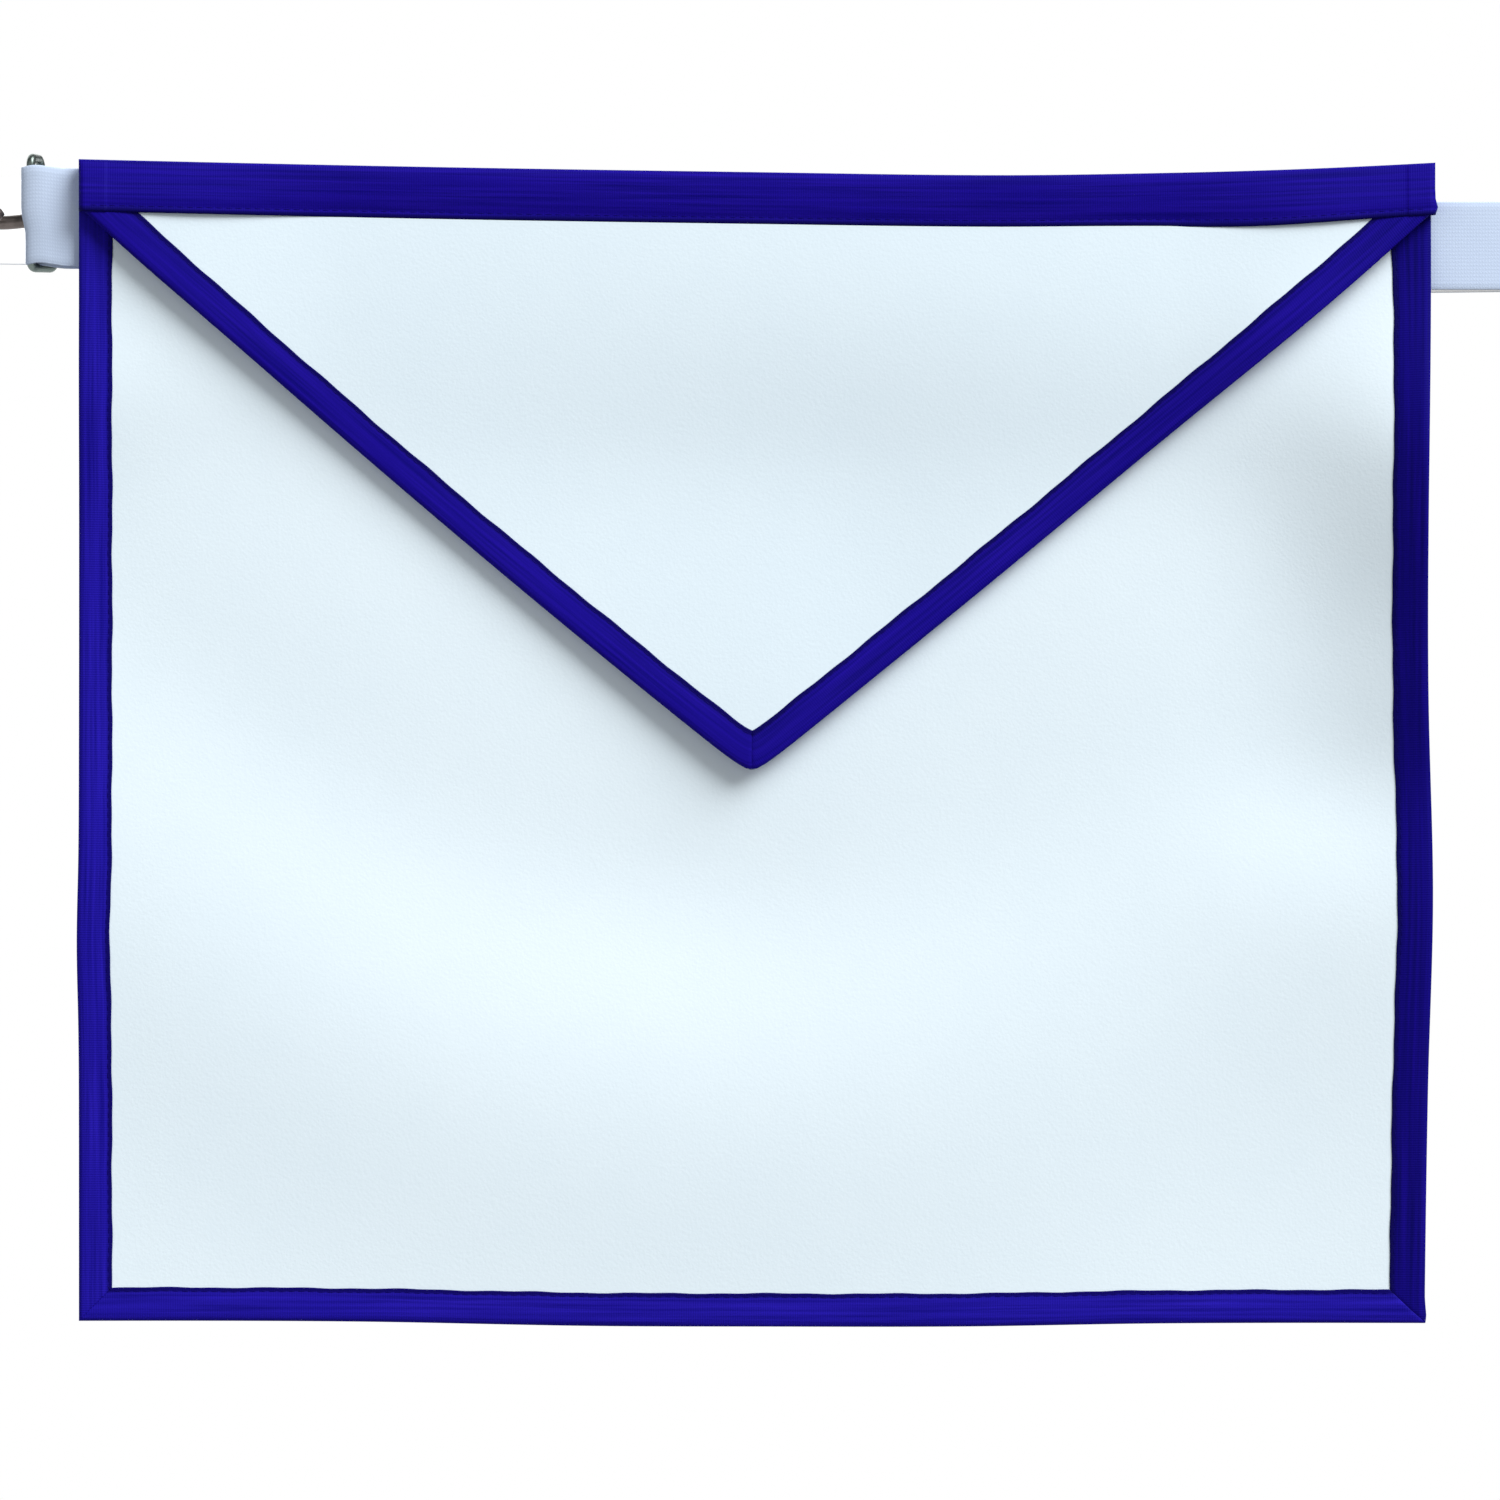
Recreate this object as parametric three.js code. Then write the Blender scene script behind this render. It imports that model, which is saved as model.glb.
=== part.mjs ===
// A white leather apron with a triangular flap, edged in royal blue ribbon and hung from a belt.
//
// Millimetres, +Z up. The apron faces -Y and its wearer stands on the +Y side.
// The origin is the middle of the waistband's back face, where the apron lies against the waist.
// The leather and ribbon pieces are laid out flat first, with z = 0 along the apron's top edge,
// and hang() and its variants then give them the sag, the curled side and the soft folds of the
// hanging apron.

import * as THREE from 'three';

// Cut sizes of the apron

const apronWidth = 407;
const apronDrop = 346.4; // top edge to bottom edge, in the middle
const waistbandHeight = 15;
const bindingWidth = 10; // what shows of the folded ribbon on each face
const flapDrop = 181.6; // top edge to the tip of the flap
const flapTipShift = - 1.6; // the tip hangs a little left of the middle
const flapSideMargin = 1.9; // apron's side to the flap, at the waistband's lower edge
const flapTuck = 1.2; // length of the flap's binding under the waistband
const flapTipBlunt = 1; // half width of the leather's cut at the very tip
const flapBows = [ 1.9, - 0.1 ]; // the left and right arms bow out this far along their edges

// Materials' thicknesses and clearances

const leather = 1.2;
const ribbon = 1;
const webbing = 1.5;
const sewnGap = 0.3; // between pieces that are sewn together
const ribbonFold = 1.5; // outer radius of the ribbon where it folds over an edge

// The hanging shape

const topSag = 4.8; // the top edge dips this far between the straps
const foldDepth = 4.2; // height of the panel's widest fold
const flapRoll = 4.4; // the flap stands this far off the panel
const flapRollReach = 70; // it gets there over about this length below the waistband
const endLayers = 2 * ( ribbon + sewnGap ); // the flap stands this much further off at the sides
const endLayersReach = [ 0.6, 0.95 ]; // where that starts and ends, as shares of the half width
const bandBulgeLength = 55; // the waistband's front bulges out over this length at each end
const flapFoldDepth = 3;
const looseReach = [ 0.05, 0.18 ]; // the folds begin and are full here, as shares of the drop

// The top edge, from left to right: height above its lowest point, as a share of topSag

const topLine = [
	{ across: - 1, rise: 1 },
	{ across: - 0.5, rise: 0.53 },
	{ across: 0, rise: 0.19 },
	{ across: 0.35, rise: 0 },
	{ across: 0.6, rise: 0.14 },
	{ across: 0.8, rise: 0.38 },
	{ across: 1, rise: 0.78 },
];

// The bottom edge, from left to right: height above its middle

const bottomLine = [
	{ across: - 1, rise: 1.7 },
	{ across: - 0.6, rise: 1.5 },
	{ across: - 0.25, rise: 0.2 },
	{ across: 0, rise: 0 },
	{ across: 0.3, rise: 0 },
	{ across: 0.6, rise: 0.9 },
	{ across: 1, rise: 1 },
];

// The panel's right side, from top to bottom: how far it draws in, as a share of the half width

const rightLine = [
	{ down: 0, drawnIn: 0.0065 },
	{ down: 0.12, drawnIn: 0.0065 },
	{ down: 0.3, drawnIn: 0.011 },
	{ down: 0.45, drawnIn: 0.0105 },
	{ down: 0.63, drawnIn: 0.0035 },
	{ down: 0.8, drawnIn: 0.0105 },
	{ down: 1, drawnIn: 0.0155 },
];

// Soft folds: centre and reach as shares of the half width and of the drop, height as a share
// of the fold depth, positive towards the front. bow lifts a fold's ends towards the straps.

const panelFolds = [
	{ across: - 0.06, down: 0.813, reachAcross: 1.63, reachDown: 0.169, bow: 0.2, height: 0.82 },
	{ across: - 0.05, down: 0.647, reachAcross: 0.91, reachDown: 0.108, bow: 0.3, height: - 0.37 },
	{ across: - 0.09, down: 0.623, reachAcross: 0.2, reachDown: 0.08, bow: 0, height: - 0.17 },
	{ across: 0.24, down: 0.265, reachAcross: 1.02, reachDown: 0.08, bow: 0, height: - 0.17 },
	{ across: 0.82, down: 0.332, reachAcross: 0.24, reachDown: 0.183, bow: 0, height: - 1.57 },
	{ across: 0.9, down: 0.539, reachAcross: 0.2, reachDown: 0.08, bow: 0, height: - 0.83 },
	{ across: 1.1, down: 0.284, reachAcross: 0.22, reachDown: 0.117, bow: 0, height: 2.14 },
	{ across: - 1.06, down: 0.173, reachAcross: 0.2, reachDown: 0.08, bow: 0, height: 0.72 },
	{ across: 0.78, down: 0.833, reachAcross: 0.34, reachDown: 0.377, bow: 0, height: - 0.41 },
	{ across: 0.94, down: 0.259, reachAcross: 0.32, reachDown: 0.351, bow: 0, height: 2.19 },
	{ across: - 0.3, down: 0.335, reachAcross: 1.38, reachDown: 0.319, bow: 0, height: - 0.27 },
];

const flapFolds = [
	{ across: 0.18, down: 0.347, reachAcross: 0.13, reachDown: 0.125, bow: 0, height: - 0.3 },
	{ across: - 0.05, down: 0.267, reachAcross: 0.54, reachDown: 0.165, bow: 0, height: - 1.1 },
	{ across: 0.43, down: 0.074, reachAcross: 0.53, reachDown: 0.055, bow: 0, height: 1 },
	{ across: 0.34, down: 0.078, reachAcross: 0.49, reachDown: 0.098, bow: 0, height: 2 },
];

// The belt: a short tab on the left, a hook, and a strap that goes round from the right

const tabWidth = 29.4;
const tabHeight = - 6; // its middle, above the origin
const tabReach = 14.6; // apron's side to the bar in the tab's fold
const strapWidth = 26.4;
const strapHeight = - 14.5;
const sewnLength = 28; // length of tab and strap that is sewn behind the apron
const foldedBack = 16; // length of the strap's doubled end
const easing = 12; // length over which two layers come together behind a fold
const beltStraight = 63; // apron's side to the place where the strap starts to bend
const beltCorner = 40; // radius of that bend
const beltDepth = 190; // front of the belt to its back

// The clasp: two wire links and the hook between them

const linkWire = 1.2; // radius
const linkSpan = 10; // bar to bar
const linkCorner = 2;
const linkTurn = THREE.MathUtils.degToRad( 28 ); // the near link is folded back behind the tab
const hookWire = 1.55;
const hookReach = 20.6; // bar to bar
const hookDip = 1.4; // the shank hangs this far below the eye
const hookTip = 8; // length of the straight tip
const hookTipRise = 2.3;
const hookDipPlace = 0.55; // where the dip is lowest, as a share of the way from bar to bar
const hookEyeStart = 170; // degrees round the eye at which its wire ends
const hookEndShares = [ 0.45, 0.85 ]; // the wire's rounded ends, as shares of its radius

// Fineness of the meshes

const panelColumns = 28;
const sideSteps = 23; // steps down the side bindings, which the panel's rows follow
const flapCells = { across: 32, down: 20 };
const armStations = 24;
const beltStep = 13;
const wireSides = 10;
const hookStations = 46;
const eyeSteps = 10;
const bendSteps = 6;

const { lerp, smoothstep } = THREE.MathUtils;
const halfWidth = apronWidth / 2;
const edgeInset = ribbon + sewnGap; // leather's edge to the outside of its binding

// Places through the thickness, counted from the back face of the waistband

const panelMiddle = - ( ribbon + sewnGap + leather / 2 );
const flapMiddle = panelMiddle - leather - sewnGap;
const bindingHalf = leather / 2 + sewnGap + ribbon;
const bandFront = flapMiddle - bindingHalf;
const bandFrontAtEnds = bandFront - endLayers - ribbon - sewnGap;

const materials = {
	leather: new THREE.MeshStandardMaterial( { color: 0xeaf1f4, roughness: 0.6 } ),
	ribbon: new THREE.MeshStandardMaterial( { color: 0x1f0f8c, roughness: 0.55 } ),
	webbing: new THREE.MeshStandardMaterial( { color: 0xd3deea, roughness: 0.8 } ),
	link: new THREE.MeshStandardMaterial( { color: 0x8c9492, roughness: 0.3, metalness: 1 } ),
	hook: new THREE.MeshStandardMaterial( { color: 0x6b625f, roughness: 0.4, metalness: 1 } ),
};

// The hanging shape

function curveThrough( rows, place, value ) {

	const places = rows.map( ( row ) => row[ place ] );
	const values = rows.map( ( row ) => row[ value ] );
	const curve = new THREE.CubicInterpolant( places, values, 1 );
	return ( at ) => curve.evaluate( at )[ 0 ];

}

const topRise = curveThrough( topLine, 'across', 'rise' );
const bottomRise = curveThrough( bottomLine, 'across', 'rise' );
const rightDrawnIn = curveThrough( rightLine, 'down', 'drawnIn' );

function topEdge( across ) {

	return waistbandHeight / 2 + topSag * ( topRise( across ) - topRise( 0 ) );

}

function bottomEdge( across ) {

	return waistbandHeight / 2 - apronDrop + bottomRise( across );

}

function foldsAt( folds, across, down ) {

	return folds.reduce( ( sum, fold ) => {

		const sideways = ( across - fold.across ) / fold.reachAcross;
		const lengthways = ( down - fold.down + fold.bow * ( across - fold.across ) ** 2 ) / fold.reachDown;
		return sum + fold.height * Math.exp( - sideways * sideways - lengthways * lengthways );

	}, 0 );

}

// 0 along the waistband, which the belt holds straight, and 1 well below it

function looseness( down ) {

	return smoothstep( down, ...looseReach );

}

// 1 near the sides, where the flap lies over the side bindings

function overBindings( x ) {

	return smoothstep( Math.abs( x ) / halfWidth, ...endLayersReach );

}

// Takes a point of the flat apron to its place on the hanging one

function hang( x, y, z ) {

	const across = x / halfWidth;
	const down = - z / apronDrop;
	const folds = foldDepth * looseness( down ) * foldsAt( panelFolds, across, down );
	return new THREE.Vector3( x, y - folds, lerp( topEdge( across ), bottomEdge( across ), down ) );

}

// The same for the panel and its binding, whose right side is drawn in where it curls

function hangPanel( x, y, z ) {

	return hang( x - Math.max( 0, x ) * rightDrawnIn( - z / apronDrop ), y, z );

}

// The same for the flap, whose sheet rolls forward off the panel below the waistband

function hangFlap( x, y, z ) {

	const below = Math.max( 0, - z - waistbandHeight );
	const free = 1 - Math.exp( - below / flapRollReach );
	const folds = flapFoldDepth * free * foldsAt( flapFolds, x / halfWidth, - z / apronDrop );
	return hang( x, y - endLayers * overBindings( x ) - flapRoll * free - folds, z );

}

// Solids from sections

function solid( points, triangles ) {

	return new THREE.BufferGeometry().setFromPoints( points ).setIndex( triangles );

}

// Joins rings of points, each seen anticlockwise from the last ring, and closes both ends.
// profile is a ring's flat outline, by which the ends are filled. Without it, the last ring meets the first.

function loft( rings, profile ) {

	const count = rings[ 0 ].length;
	const triangles = [];
	const spans = profile ? rings.length - 1 : rings.length;
	for ( let i = 0; i < spans; i ++ ) {

		const here = i * count;
		const next = ( ( i + 1 ) % rings.length ) * count;
		for ( let j = 0; j < count; j ++ ) {

			const k = ( j + 1 ) % count;
			triangles.push( here + j, here + k, next + k, here + j, next + k, next + j );

		}

	}

	if ( profile ) {

		const last = ( rings.length - 1 ) * count;
		const clockwise = THREE.ShapeUtils.isClockWise( profile );
		for ( const face of THREE.ShapeUtils.triangulateShape( profile, [] ) ) {

			const [ a, b, c ] = clockwise ? face.reverse() : face;
			triangles.push( a, c, b, last + a, last + b, last + c );

		}

	}

	return solid( rings.flat(), triangles );

}

// A sheet with front and back faces: place( across, down, side ) gives its points,
// with across and down from 0 to 1 and side 1 in front and -1 behind

function sheet( cells, place ) {

	const geometry = new THREE.BoxGeometry( 1, 2, 1, cells.across, 1, cells.down );
	const position = geometry.getAttribute( 'position' );
	for ( let i = 0; i < position.count; i ++ ) {

		const point = place( position.getX( i ) + 0.5, 0.5 - position.getZ( i ), - position.getY( i ) );
		position.setXYZ( i, point.x, point.y, point.z );

	}

	return geometry;

}

// The section of a ribbon folded over an edge: x inwards from the fold, y from front to back

function foldedRibbon( width, front, back ) {

	const fold = Math.min( ribbonFold, ( back - front ) / 2 );
	const bend = fold * ( 1 - Math.SQRT1_2 );
	const points = [
		[ width, front ], [ fold, front ], [ bend, front + bend ], [ 0, front + fold ],
		[ 0, back - fold ], [ bend, back - bend ], [ fold, back ], [ width, back ],
		[ width, back - ribbon ], [ ribbon, back - ribbon ],
		[ ribbon, front + ribbon ], [ width, front + ribbon ],
	];
	return points.map( ( [ inwards, y ] ) => new THREE.Vector2( inwards, y ) );

}

// Lays that section along an edge of the flat apron. Each station has a place on the edge
// and the vector that one millimetre inwards stands for, which is longer at a mitre.

function bindEdge( stations, sectionAt, hangPoint ) {

	const rings = stations.map( ( station ) => sectionAt( station ).map( ( point ) => hangPoint(
		station.x + station.inwardX * point.x,
		point.y,
		station.z + station.inwardZ * point.x
	) ) );
	return loft( rings, sectionAt( stations[ 0 ] ) );

}

// A wire through a run of points. up is any direction that the wire never follows.

function wire( path, radius, up, closed ) {

	const count = path.length;
	const at = ( i ) => path[ closed ? ( i + count ) % count : Math.min( Math.max( i, 0 ), count - 1 ) ];
	const rings = path.map( ( point, i ) => {

		const forward = at( i + 1 ).clone().sub( at( i - 1 ) ).normalize();
		const side = new THREE.Vector3().crossVectors( up, forward ).normalize();
		const top = new THREE.Vector3().crossVectors( forward, side );
		return circle( wireSides ).map( ( spot ) => point.clone()
			.addScaledVector( side, spot.x * radius( i / ( count - 1 ) ) )
			.addScaledVector( top, spot.y * radius( i / ( count - 1 ) ) ) );

	} );
	return loft( rings, closed ? null : circle( wireSides ) );

}

function circle( sides ) {

	return Array.from( { length: sides }, ( _, i ) => {

		const turn = i / sides * 2 * Math.PI;
		return new THREE.Vector2( Math.cos( turn ), Math.sin( turn ) );

	} );

}

// A strip of webbing on edge, whose path is seen from above

function strip( path, width, middle ) {

	const points = path.flatMap( ( curve, i ) => curve.getPoints( stepsOf( curve ) ).slice( i ? 1 : 0 ) );
	const offset = ( side ) => points.map( ( point, i ) => {

		const ahead = points[ Math.min( i + 1, points.length - 1 ) ];
		const behind = points[ Math.max( i - 1, 0 ) ];
		const along = ahead.clone().sub( behind ).normalize();
		return new THREE.Vector2( point.x - side * along.y, point.y + side * along.x );

	} );
	const outline = [ ...offset( webbing / 2 ), ...offset( - webbing / 2 ).reverse() ];
	const shape = new THREE.Shape( outline );
	const geometry = new THREE.ExtrudeGeometry( shape, { depth: width, bevelEnabled: false } );
	return geometry.translate( 0, 0, middle - width / 2 );

}

// Straight runs need one step, and bends more

function stepsOf( curve ) {

	if ( curve.isLineCurve ) return 1;
	return Math.max( 6, Math.ceil( curve.getLength() / beltStep ) );

}

// Pieces of the apron

// Heights down the side bindings, from the waistband to the bottom edge

const sideHeights = Array.from( { length: sideSteps + 1 }, ( _, i ) =>
	lerp( - waistbandHeight - sewnGap, - apronDrop, i / sideSteps ) );

function panel() {

	const side = halfWidth - edgeInset;
	const rows = [ - edgeInset, ...sideHeights.slice( 0, - 1 ), - apronDrop + edgeInset ];
	const cells = { across: panelColumns, down: rows.length - 1 };
	return sheet( cells, ( across, down, face ) => hangPanel(
		lerp( - side, side, across ),
		panelMiddle - face * leather / 2,
		rows[ Math.round( down * cells.down ) ]
	) );

}

// One ribbon round the left side, the bottom and the right side, mitred at both corners

function edgeBinding() {

	const aboveCorner = sideHeights.slice( 0, - 1 );
	const stations = aboveCorner.map( ( z ) => ( { x: - halfWidth, z, inwardX: 1, inwardZ: 0 } ) );
	stations.push( { x: - halfWidth, z: - apronDrop, inwardX: 1, inwardZ: 1 } );
	for ( let i = 1; i < panelColumns; i ++ ) {

		const x = lerp( - halfWidth, halfWidth, i / panelColumns );
		stations.push( { x, z: - apronDrop, inwardX: 0, inwardZ: 1 } );

	}

	stations.push( { x: halfWidth, z: - apronDrop, inwardX: - 1, inwardZ: 1 } );
	for ( const z of aboveCorner.toReversed() ) stations.push( { x: halfWidth, z, inwardX: - 1, inwardZ: 0 } );

	const section = foldedRibbon( bindingWidth, panelMiddle - bindingHalf, panelMiddle + bindingHalf );
	return bindEdge( stations, () => section, hangPanel );

}

// The flap's outer edges run from the waistband down to the tip

const flapTuckTop = - waistbandHeight + flapTuck;
const flapTip = new THREE.Vector2( flapTipShift, - flapDrop );
const flapCorners = [ - 1, 1 ].map( ( side ) =>
	new THREE.Vector2( side * ( halfWidth - flapSideMargin ), - waistbandHeight ) );

// For each arm, the direction square to its edge and into the flap

const flapInward = flapCorners.map( ( corner, i ) => {

	const along = flapTip.clone().sub( corner ).normalize();
	return i ? new THREE.Vector2( along.y, - along.x ) : new THREE.Vector2( - along.y, along.x );

} );

const flapMitre = flapInward[ 0 ].clone().add( flapInward[ 1 ] )
	.divideScalar( 1 + flapInward[ 0 ].dot( flapInward[ 1 ] ) );

// Where the flap's edge is at a height, moved inwards

function flapEdge( arm, z, inwards ) {

	const corner = flapCorners[ arm ];
	const share = ( z - corner.y ) / ( flapTip.y - corner.y );
	const bow = flapBows[ arm ] * Math.sin( Math.PI * THREE.MathUtils.clamp( share, 0, 1 ) );
	return lerp( corner.x, flapTip.x, share ) + ( inwards - bow ) / flapInward[ arm ].x;

}

function flap() {

	const tipHeight = flapTip.y + flapMitre.y * edgeInset;
	const slope = Math.abs( flapInward[ 0 ].x / flapInward[ 0 ].y );
	const heights = [ - edgeInset, flapTuckTop ];
	for ( let i = 1; i < flapCells.down; i ++ ) {

		heights.push( lerp( flapTuckTop, tipHeight + flapTipBlunt * slope, i / ( flapCells.down - 1 ) ) );

	}

	return sheet( flapCells, ( across, down, face ) => {

		const z = heights[ Math.round( down * flapCells.down ) ];
		const edgeHeight = Math.min( z, flapTuckTop );
		const x = lerp( flapEdge( 0, edgeHeight, edgeInset ), flapEdge( 1, edgeHeight, edgeInset ), across );
		return hangFlap( x, flapMiddle - face * leather / 2, z );

	} );

}

// One ribbon down the left arm and up the right one, mitred at the tip and cut level under the waistband

function flapBinding() {

	const stations = [];
	for ( let i = 0; i <= 2 * armStations; i ++ ) {

		const arm = i < armStations ? 0 : 1;
		const share = 1 - Math.abs( i / armStations - 1 );
		const z = lerp( flapTuckTop, flapTip.y, share );
		let inward = flapInward[ arm ];
		if ( share === 0 ) inward = new THREE.Vector2( 1 / inward.x, 0 );
		if ( share === 1 ) inward = flapMitre;
		stations.push( { x: flapEdge( arm, z, 0 ), z, inwardX: inward.x, inwardZ: inward.y } );

	}

	const section = foldedRibbon( bindingWidth, flapMiddle - bindingHalf, flapMiddle + bindingHalf );
	return bindEdge( stations, () => section, hangFlap );

}

// The wide ribbon along the top holds the panel and the flap between its two legs

function waistband() {

	const stations = [];
	for ( let i = 0; i <= panelColumns; i ++ ) {

		const x = lerp( - halfWidth, halfWidth, i / panelColumns );
		stations.push( { x, z: 0, inwardX: 0, inwardZ: - 1 } );

	}

	// It has bulged out in full before it reaches the flap's binding

	const bulged = flapEdge( 1, flapTuckTop, bindingWidth ) - bindingWidth;
	const sectionAt = ( { x } ) => {

		const bulge = smoothstep( Math.abs( x ), bulged - bandBulgeLength, bulged );
		return foldedRibbon( waistbandHeight, lerp( bandFront, bandFrontAtEnds, bulge ), 0 );

	};

	return bindEdge( stations.reverse(), sectionAt, hang );

}

// Pieces of the belt, with the places of the clasp's four bars as seen from above

const layer = webbing + sewnGap; // one layer of webbing to the next
const foldRadius = linkWire + sewnGap + webbing / 2; // webbing's middle round a bar
const eyeRadius = linkWire + sewnGap + hookWire; // hook's middle round a bar
const firstLayer = sewnGap + webbing / 2; // webbing's middle behind the apron

const tabBar = new THREE.Vector2( - halfWidth - tabReach, firstLayer + foldRadius );
const eyeBar = tabBar.clone().add(
	new THREE.Vector2( Math.sin( linkTurn ), Math.cos( linkTurn ) ).multiplyScalar( linkSpan ) );
const keeperBar = new THREE.Vector2( eyeBar.x - hookReach, eyeBar.y - 2 * eyeRadius );
const strapBar = new THREE.Vector2( keeperBar.x - linkSpan, keeperBar.y );

function line( fromX, fromY, toX, toY ) {

	return new THREE.LineCurve( new THREE.Vector2( fromX, fromY ), new THREE.Vector2( toX, toY ) );

}

// An easy step sideways between two runs of webbing

function ease( fromX, fromY, toX, toY ) {

	const middle = ( fromX + toX ) / 2;
	return new THREE.CubicBezierCurve(
		new THREE.Vector2( fromX, fromY ), new THREE.Vector2( middle, fromY ),
		new THREE.Vector2( middle, toY ), new THREE.Vector2( toX, toY )
	);

}

function arc( x, y, radiusX, radiusY, from, to, clockwise ) {

	return new THREE.EllipseCurve( x, y, radiusX, radiusY, from, to, clockwise );

}

function tab() {

	const sewnEnd = - halfWidth + sewnLength;
	const rear = firstLayer + layer;
	const behindFold = tabBar.x + easing;
	return strip( [
		line( sewnEnd, firstLayer, tabBar.x, firstLayer ),
		arc( tabBar.x, tabBar.y, foldRadius, foldRadius, - Math.PI / 2, Math.PI / 2, true ),
		ease( tabBar.x, tabBar.y + foldRadius, behindFold, rear ),
		line( behindFold, rear, sewnEnd, rear ),
	], tabWidth, tabHeight );

}

function strap() {

	const sewnEnd = halfWidth - sewnLength;
	const bendX = halfWidth + beltStraight;
	const farX = bendX + beltCorner;
	const front = strapBar.y - foldRadius;
	const doubled = front + layer;
	const sideY = firstLayer + beltCorner;
	const sideYLeft = front + beltCorner;
	const behindFold = strapBar.x - easing;
	const geometry = strip( [
		line( sewnEnd, firstLayer, bendX, firstLayer ),
		arc( bendX, sideY, beltCorner, beltCorner, - Math.PI / 2, 0, false ),
		arc( 0, sideY, farX, beltDepth - beltCorner, 0, Math.PI / 2, false ),
		arc( 0, sideYLeft, farX, beltDepth - beltCorner + sideY - sideYLeft, Math.PI / 2, Math.PI, false ),
		arc( - bendX, sideYLeft, beltCorner, beltCorner, Math.PI, 1.5 * Math.PI, false ),
		line( - bendX, front, strapBar.x, front ),
		arc( strapBar.x, strapBar.y, foldRadius, foldRadius, - Math.PI / 2, Math.PI / 2, false ),
		ease( strapBar.x, strapBar.y + foldRadius, behindFold, doubled ),
		line( behindFold, doubled, strapBar.x - foldedBack, doubled ),
	], strapWidth, strapHeight );

	// Behind the wearer the strap climbs from its own height to the tab's

	const position = geometry.getAttribute( 'position' );
	for ( let i = 0; i < position.count; i ++ ) {

		const share = smoothstep( - position.getX( i ), - sewnEnd, sewnEnd );
		position.setZ( i, position.getZ( i ) + share * ( tabHeight - strapHeight ) );

	}

	return geometry;

}

// A rectangular wire link round two upright bars

function link( bar, otherBar, height ) {

	const out = otherBar.clone().sub( bar ).normalize();
	const corners = [ [ 0, - 1 ], [ 1, - 1 ], [ 1, 1 ], [ 0, 1 ] ];
	const path = corners.flatMap( ( [ far, up ], corner ) => [ 0, 1, 2, 3 ].map( ( step ) => {

		const turn = ( corner - 2 + step / 3 ) * Math.PI / 2;
		const middle = far ? linkSpan - linkCorner : linkCorner;
		const reach = middle + linkCorner * Math.cos( turn );
		const rise = up * ( height / 2 - linkCorner ) + linkCorner * Math.sin( turn );
		return new THREE.Vector3( bar.x + out.x * reach, bar.y + out.y * reach, tabHeight + rise );

	} ) );
	return wire( path, () => linkWire, new THREE.Vector3( out.y, - out.x, 0 ), true );

}

// An eye round the near link's far bar, a shank that dips, and an open hook round the keeper's near bar

function hook() {

	const points = [];
	const round = ( bar, turn, height ) => {

		const angle = THREE.MathUtils.degToRad( turn );
		points.push( new THREE.Vector3(
			bar.x + eyeRadius * Math.cos( angle ), bar.y + eyeRadius * Math.sin( angle ), height ) );

	};

	for ( let i = 0; i <= eyeSteps; i ++ ) {

		round( eyeBar, lerp( hookEyeStart, - 90, i / eyeSteps ), tabHeight );

	}

	points.push( new THREE.Vector3(
		lerp( eyeBar.x, keeperBar.x, hookDipPlace ), eyeBar.y - eyeRadius, tabHeight - hookDip ) );
	for ( let i = 0; i <= bendSteps; i ++ ) {

		const share = i / bendSteps;
		round( keeperBar, lerp( 90, 270, share ), tabHeight - hookDip + share * hookTipRise );

	}

	points.push( new THREE.Vector3(
		keeperBar.x + hookTip, keeperBar.y - eyeRadius, tabHeight - hookDip + hookTipRise ) );
	const path = new THREE.CatmullRomCurve3( points ).getSpacedPoints( hookStations );

	// Both ends of the wire are rounded off

	const radius = ( along ) => {

		const ring = Math.round( Math.min( along, 1 - along ) * hookStations );
		return hookWire * ( hookEndShares[ ring ] ?? 1 );

	};

	return wire( path, radius, new THREE.Vector3( 0, 0, 1 ), false );

}

const apron = new THREE.Group();

function add( name, geometry, material ) {

	const mesh = new THREE.Mesh( geometry, material );
	mesh.name = name;
	apron.add( mesh );

}

add( 'panel', panel(), materials.leather );
add( 'edge_binding', edgeBinding(), materials.ribbon );
add( 'flap', flap(), materials.leather );
add( 'flap_binding', flapBinding(), materials.ribbon );
add( 'waistband', waistband(), materials.ribbon );
add( 'belt_tab', tab(), materials.webbing );
add( 'belt_strap', strap(), materials.webbing );
add( 'tab_link', link( tabBar, eyeBar, tabWidth + 2 * ( linkWire + sewnGap ) ), materials.link );
add( 'belt_hook', hook(), materials.hook );
add( 'keeper_link', link( keeperBar, strapBar, strapWidth + 2 * ( linkWire + sewnGap ) ), materials.link );

export default apron;
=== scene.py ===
import math

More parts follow.
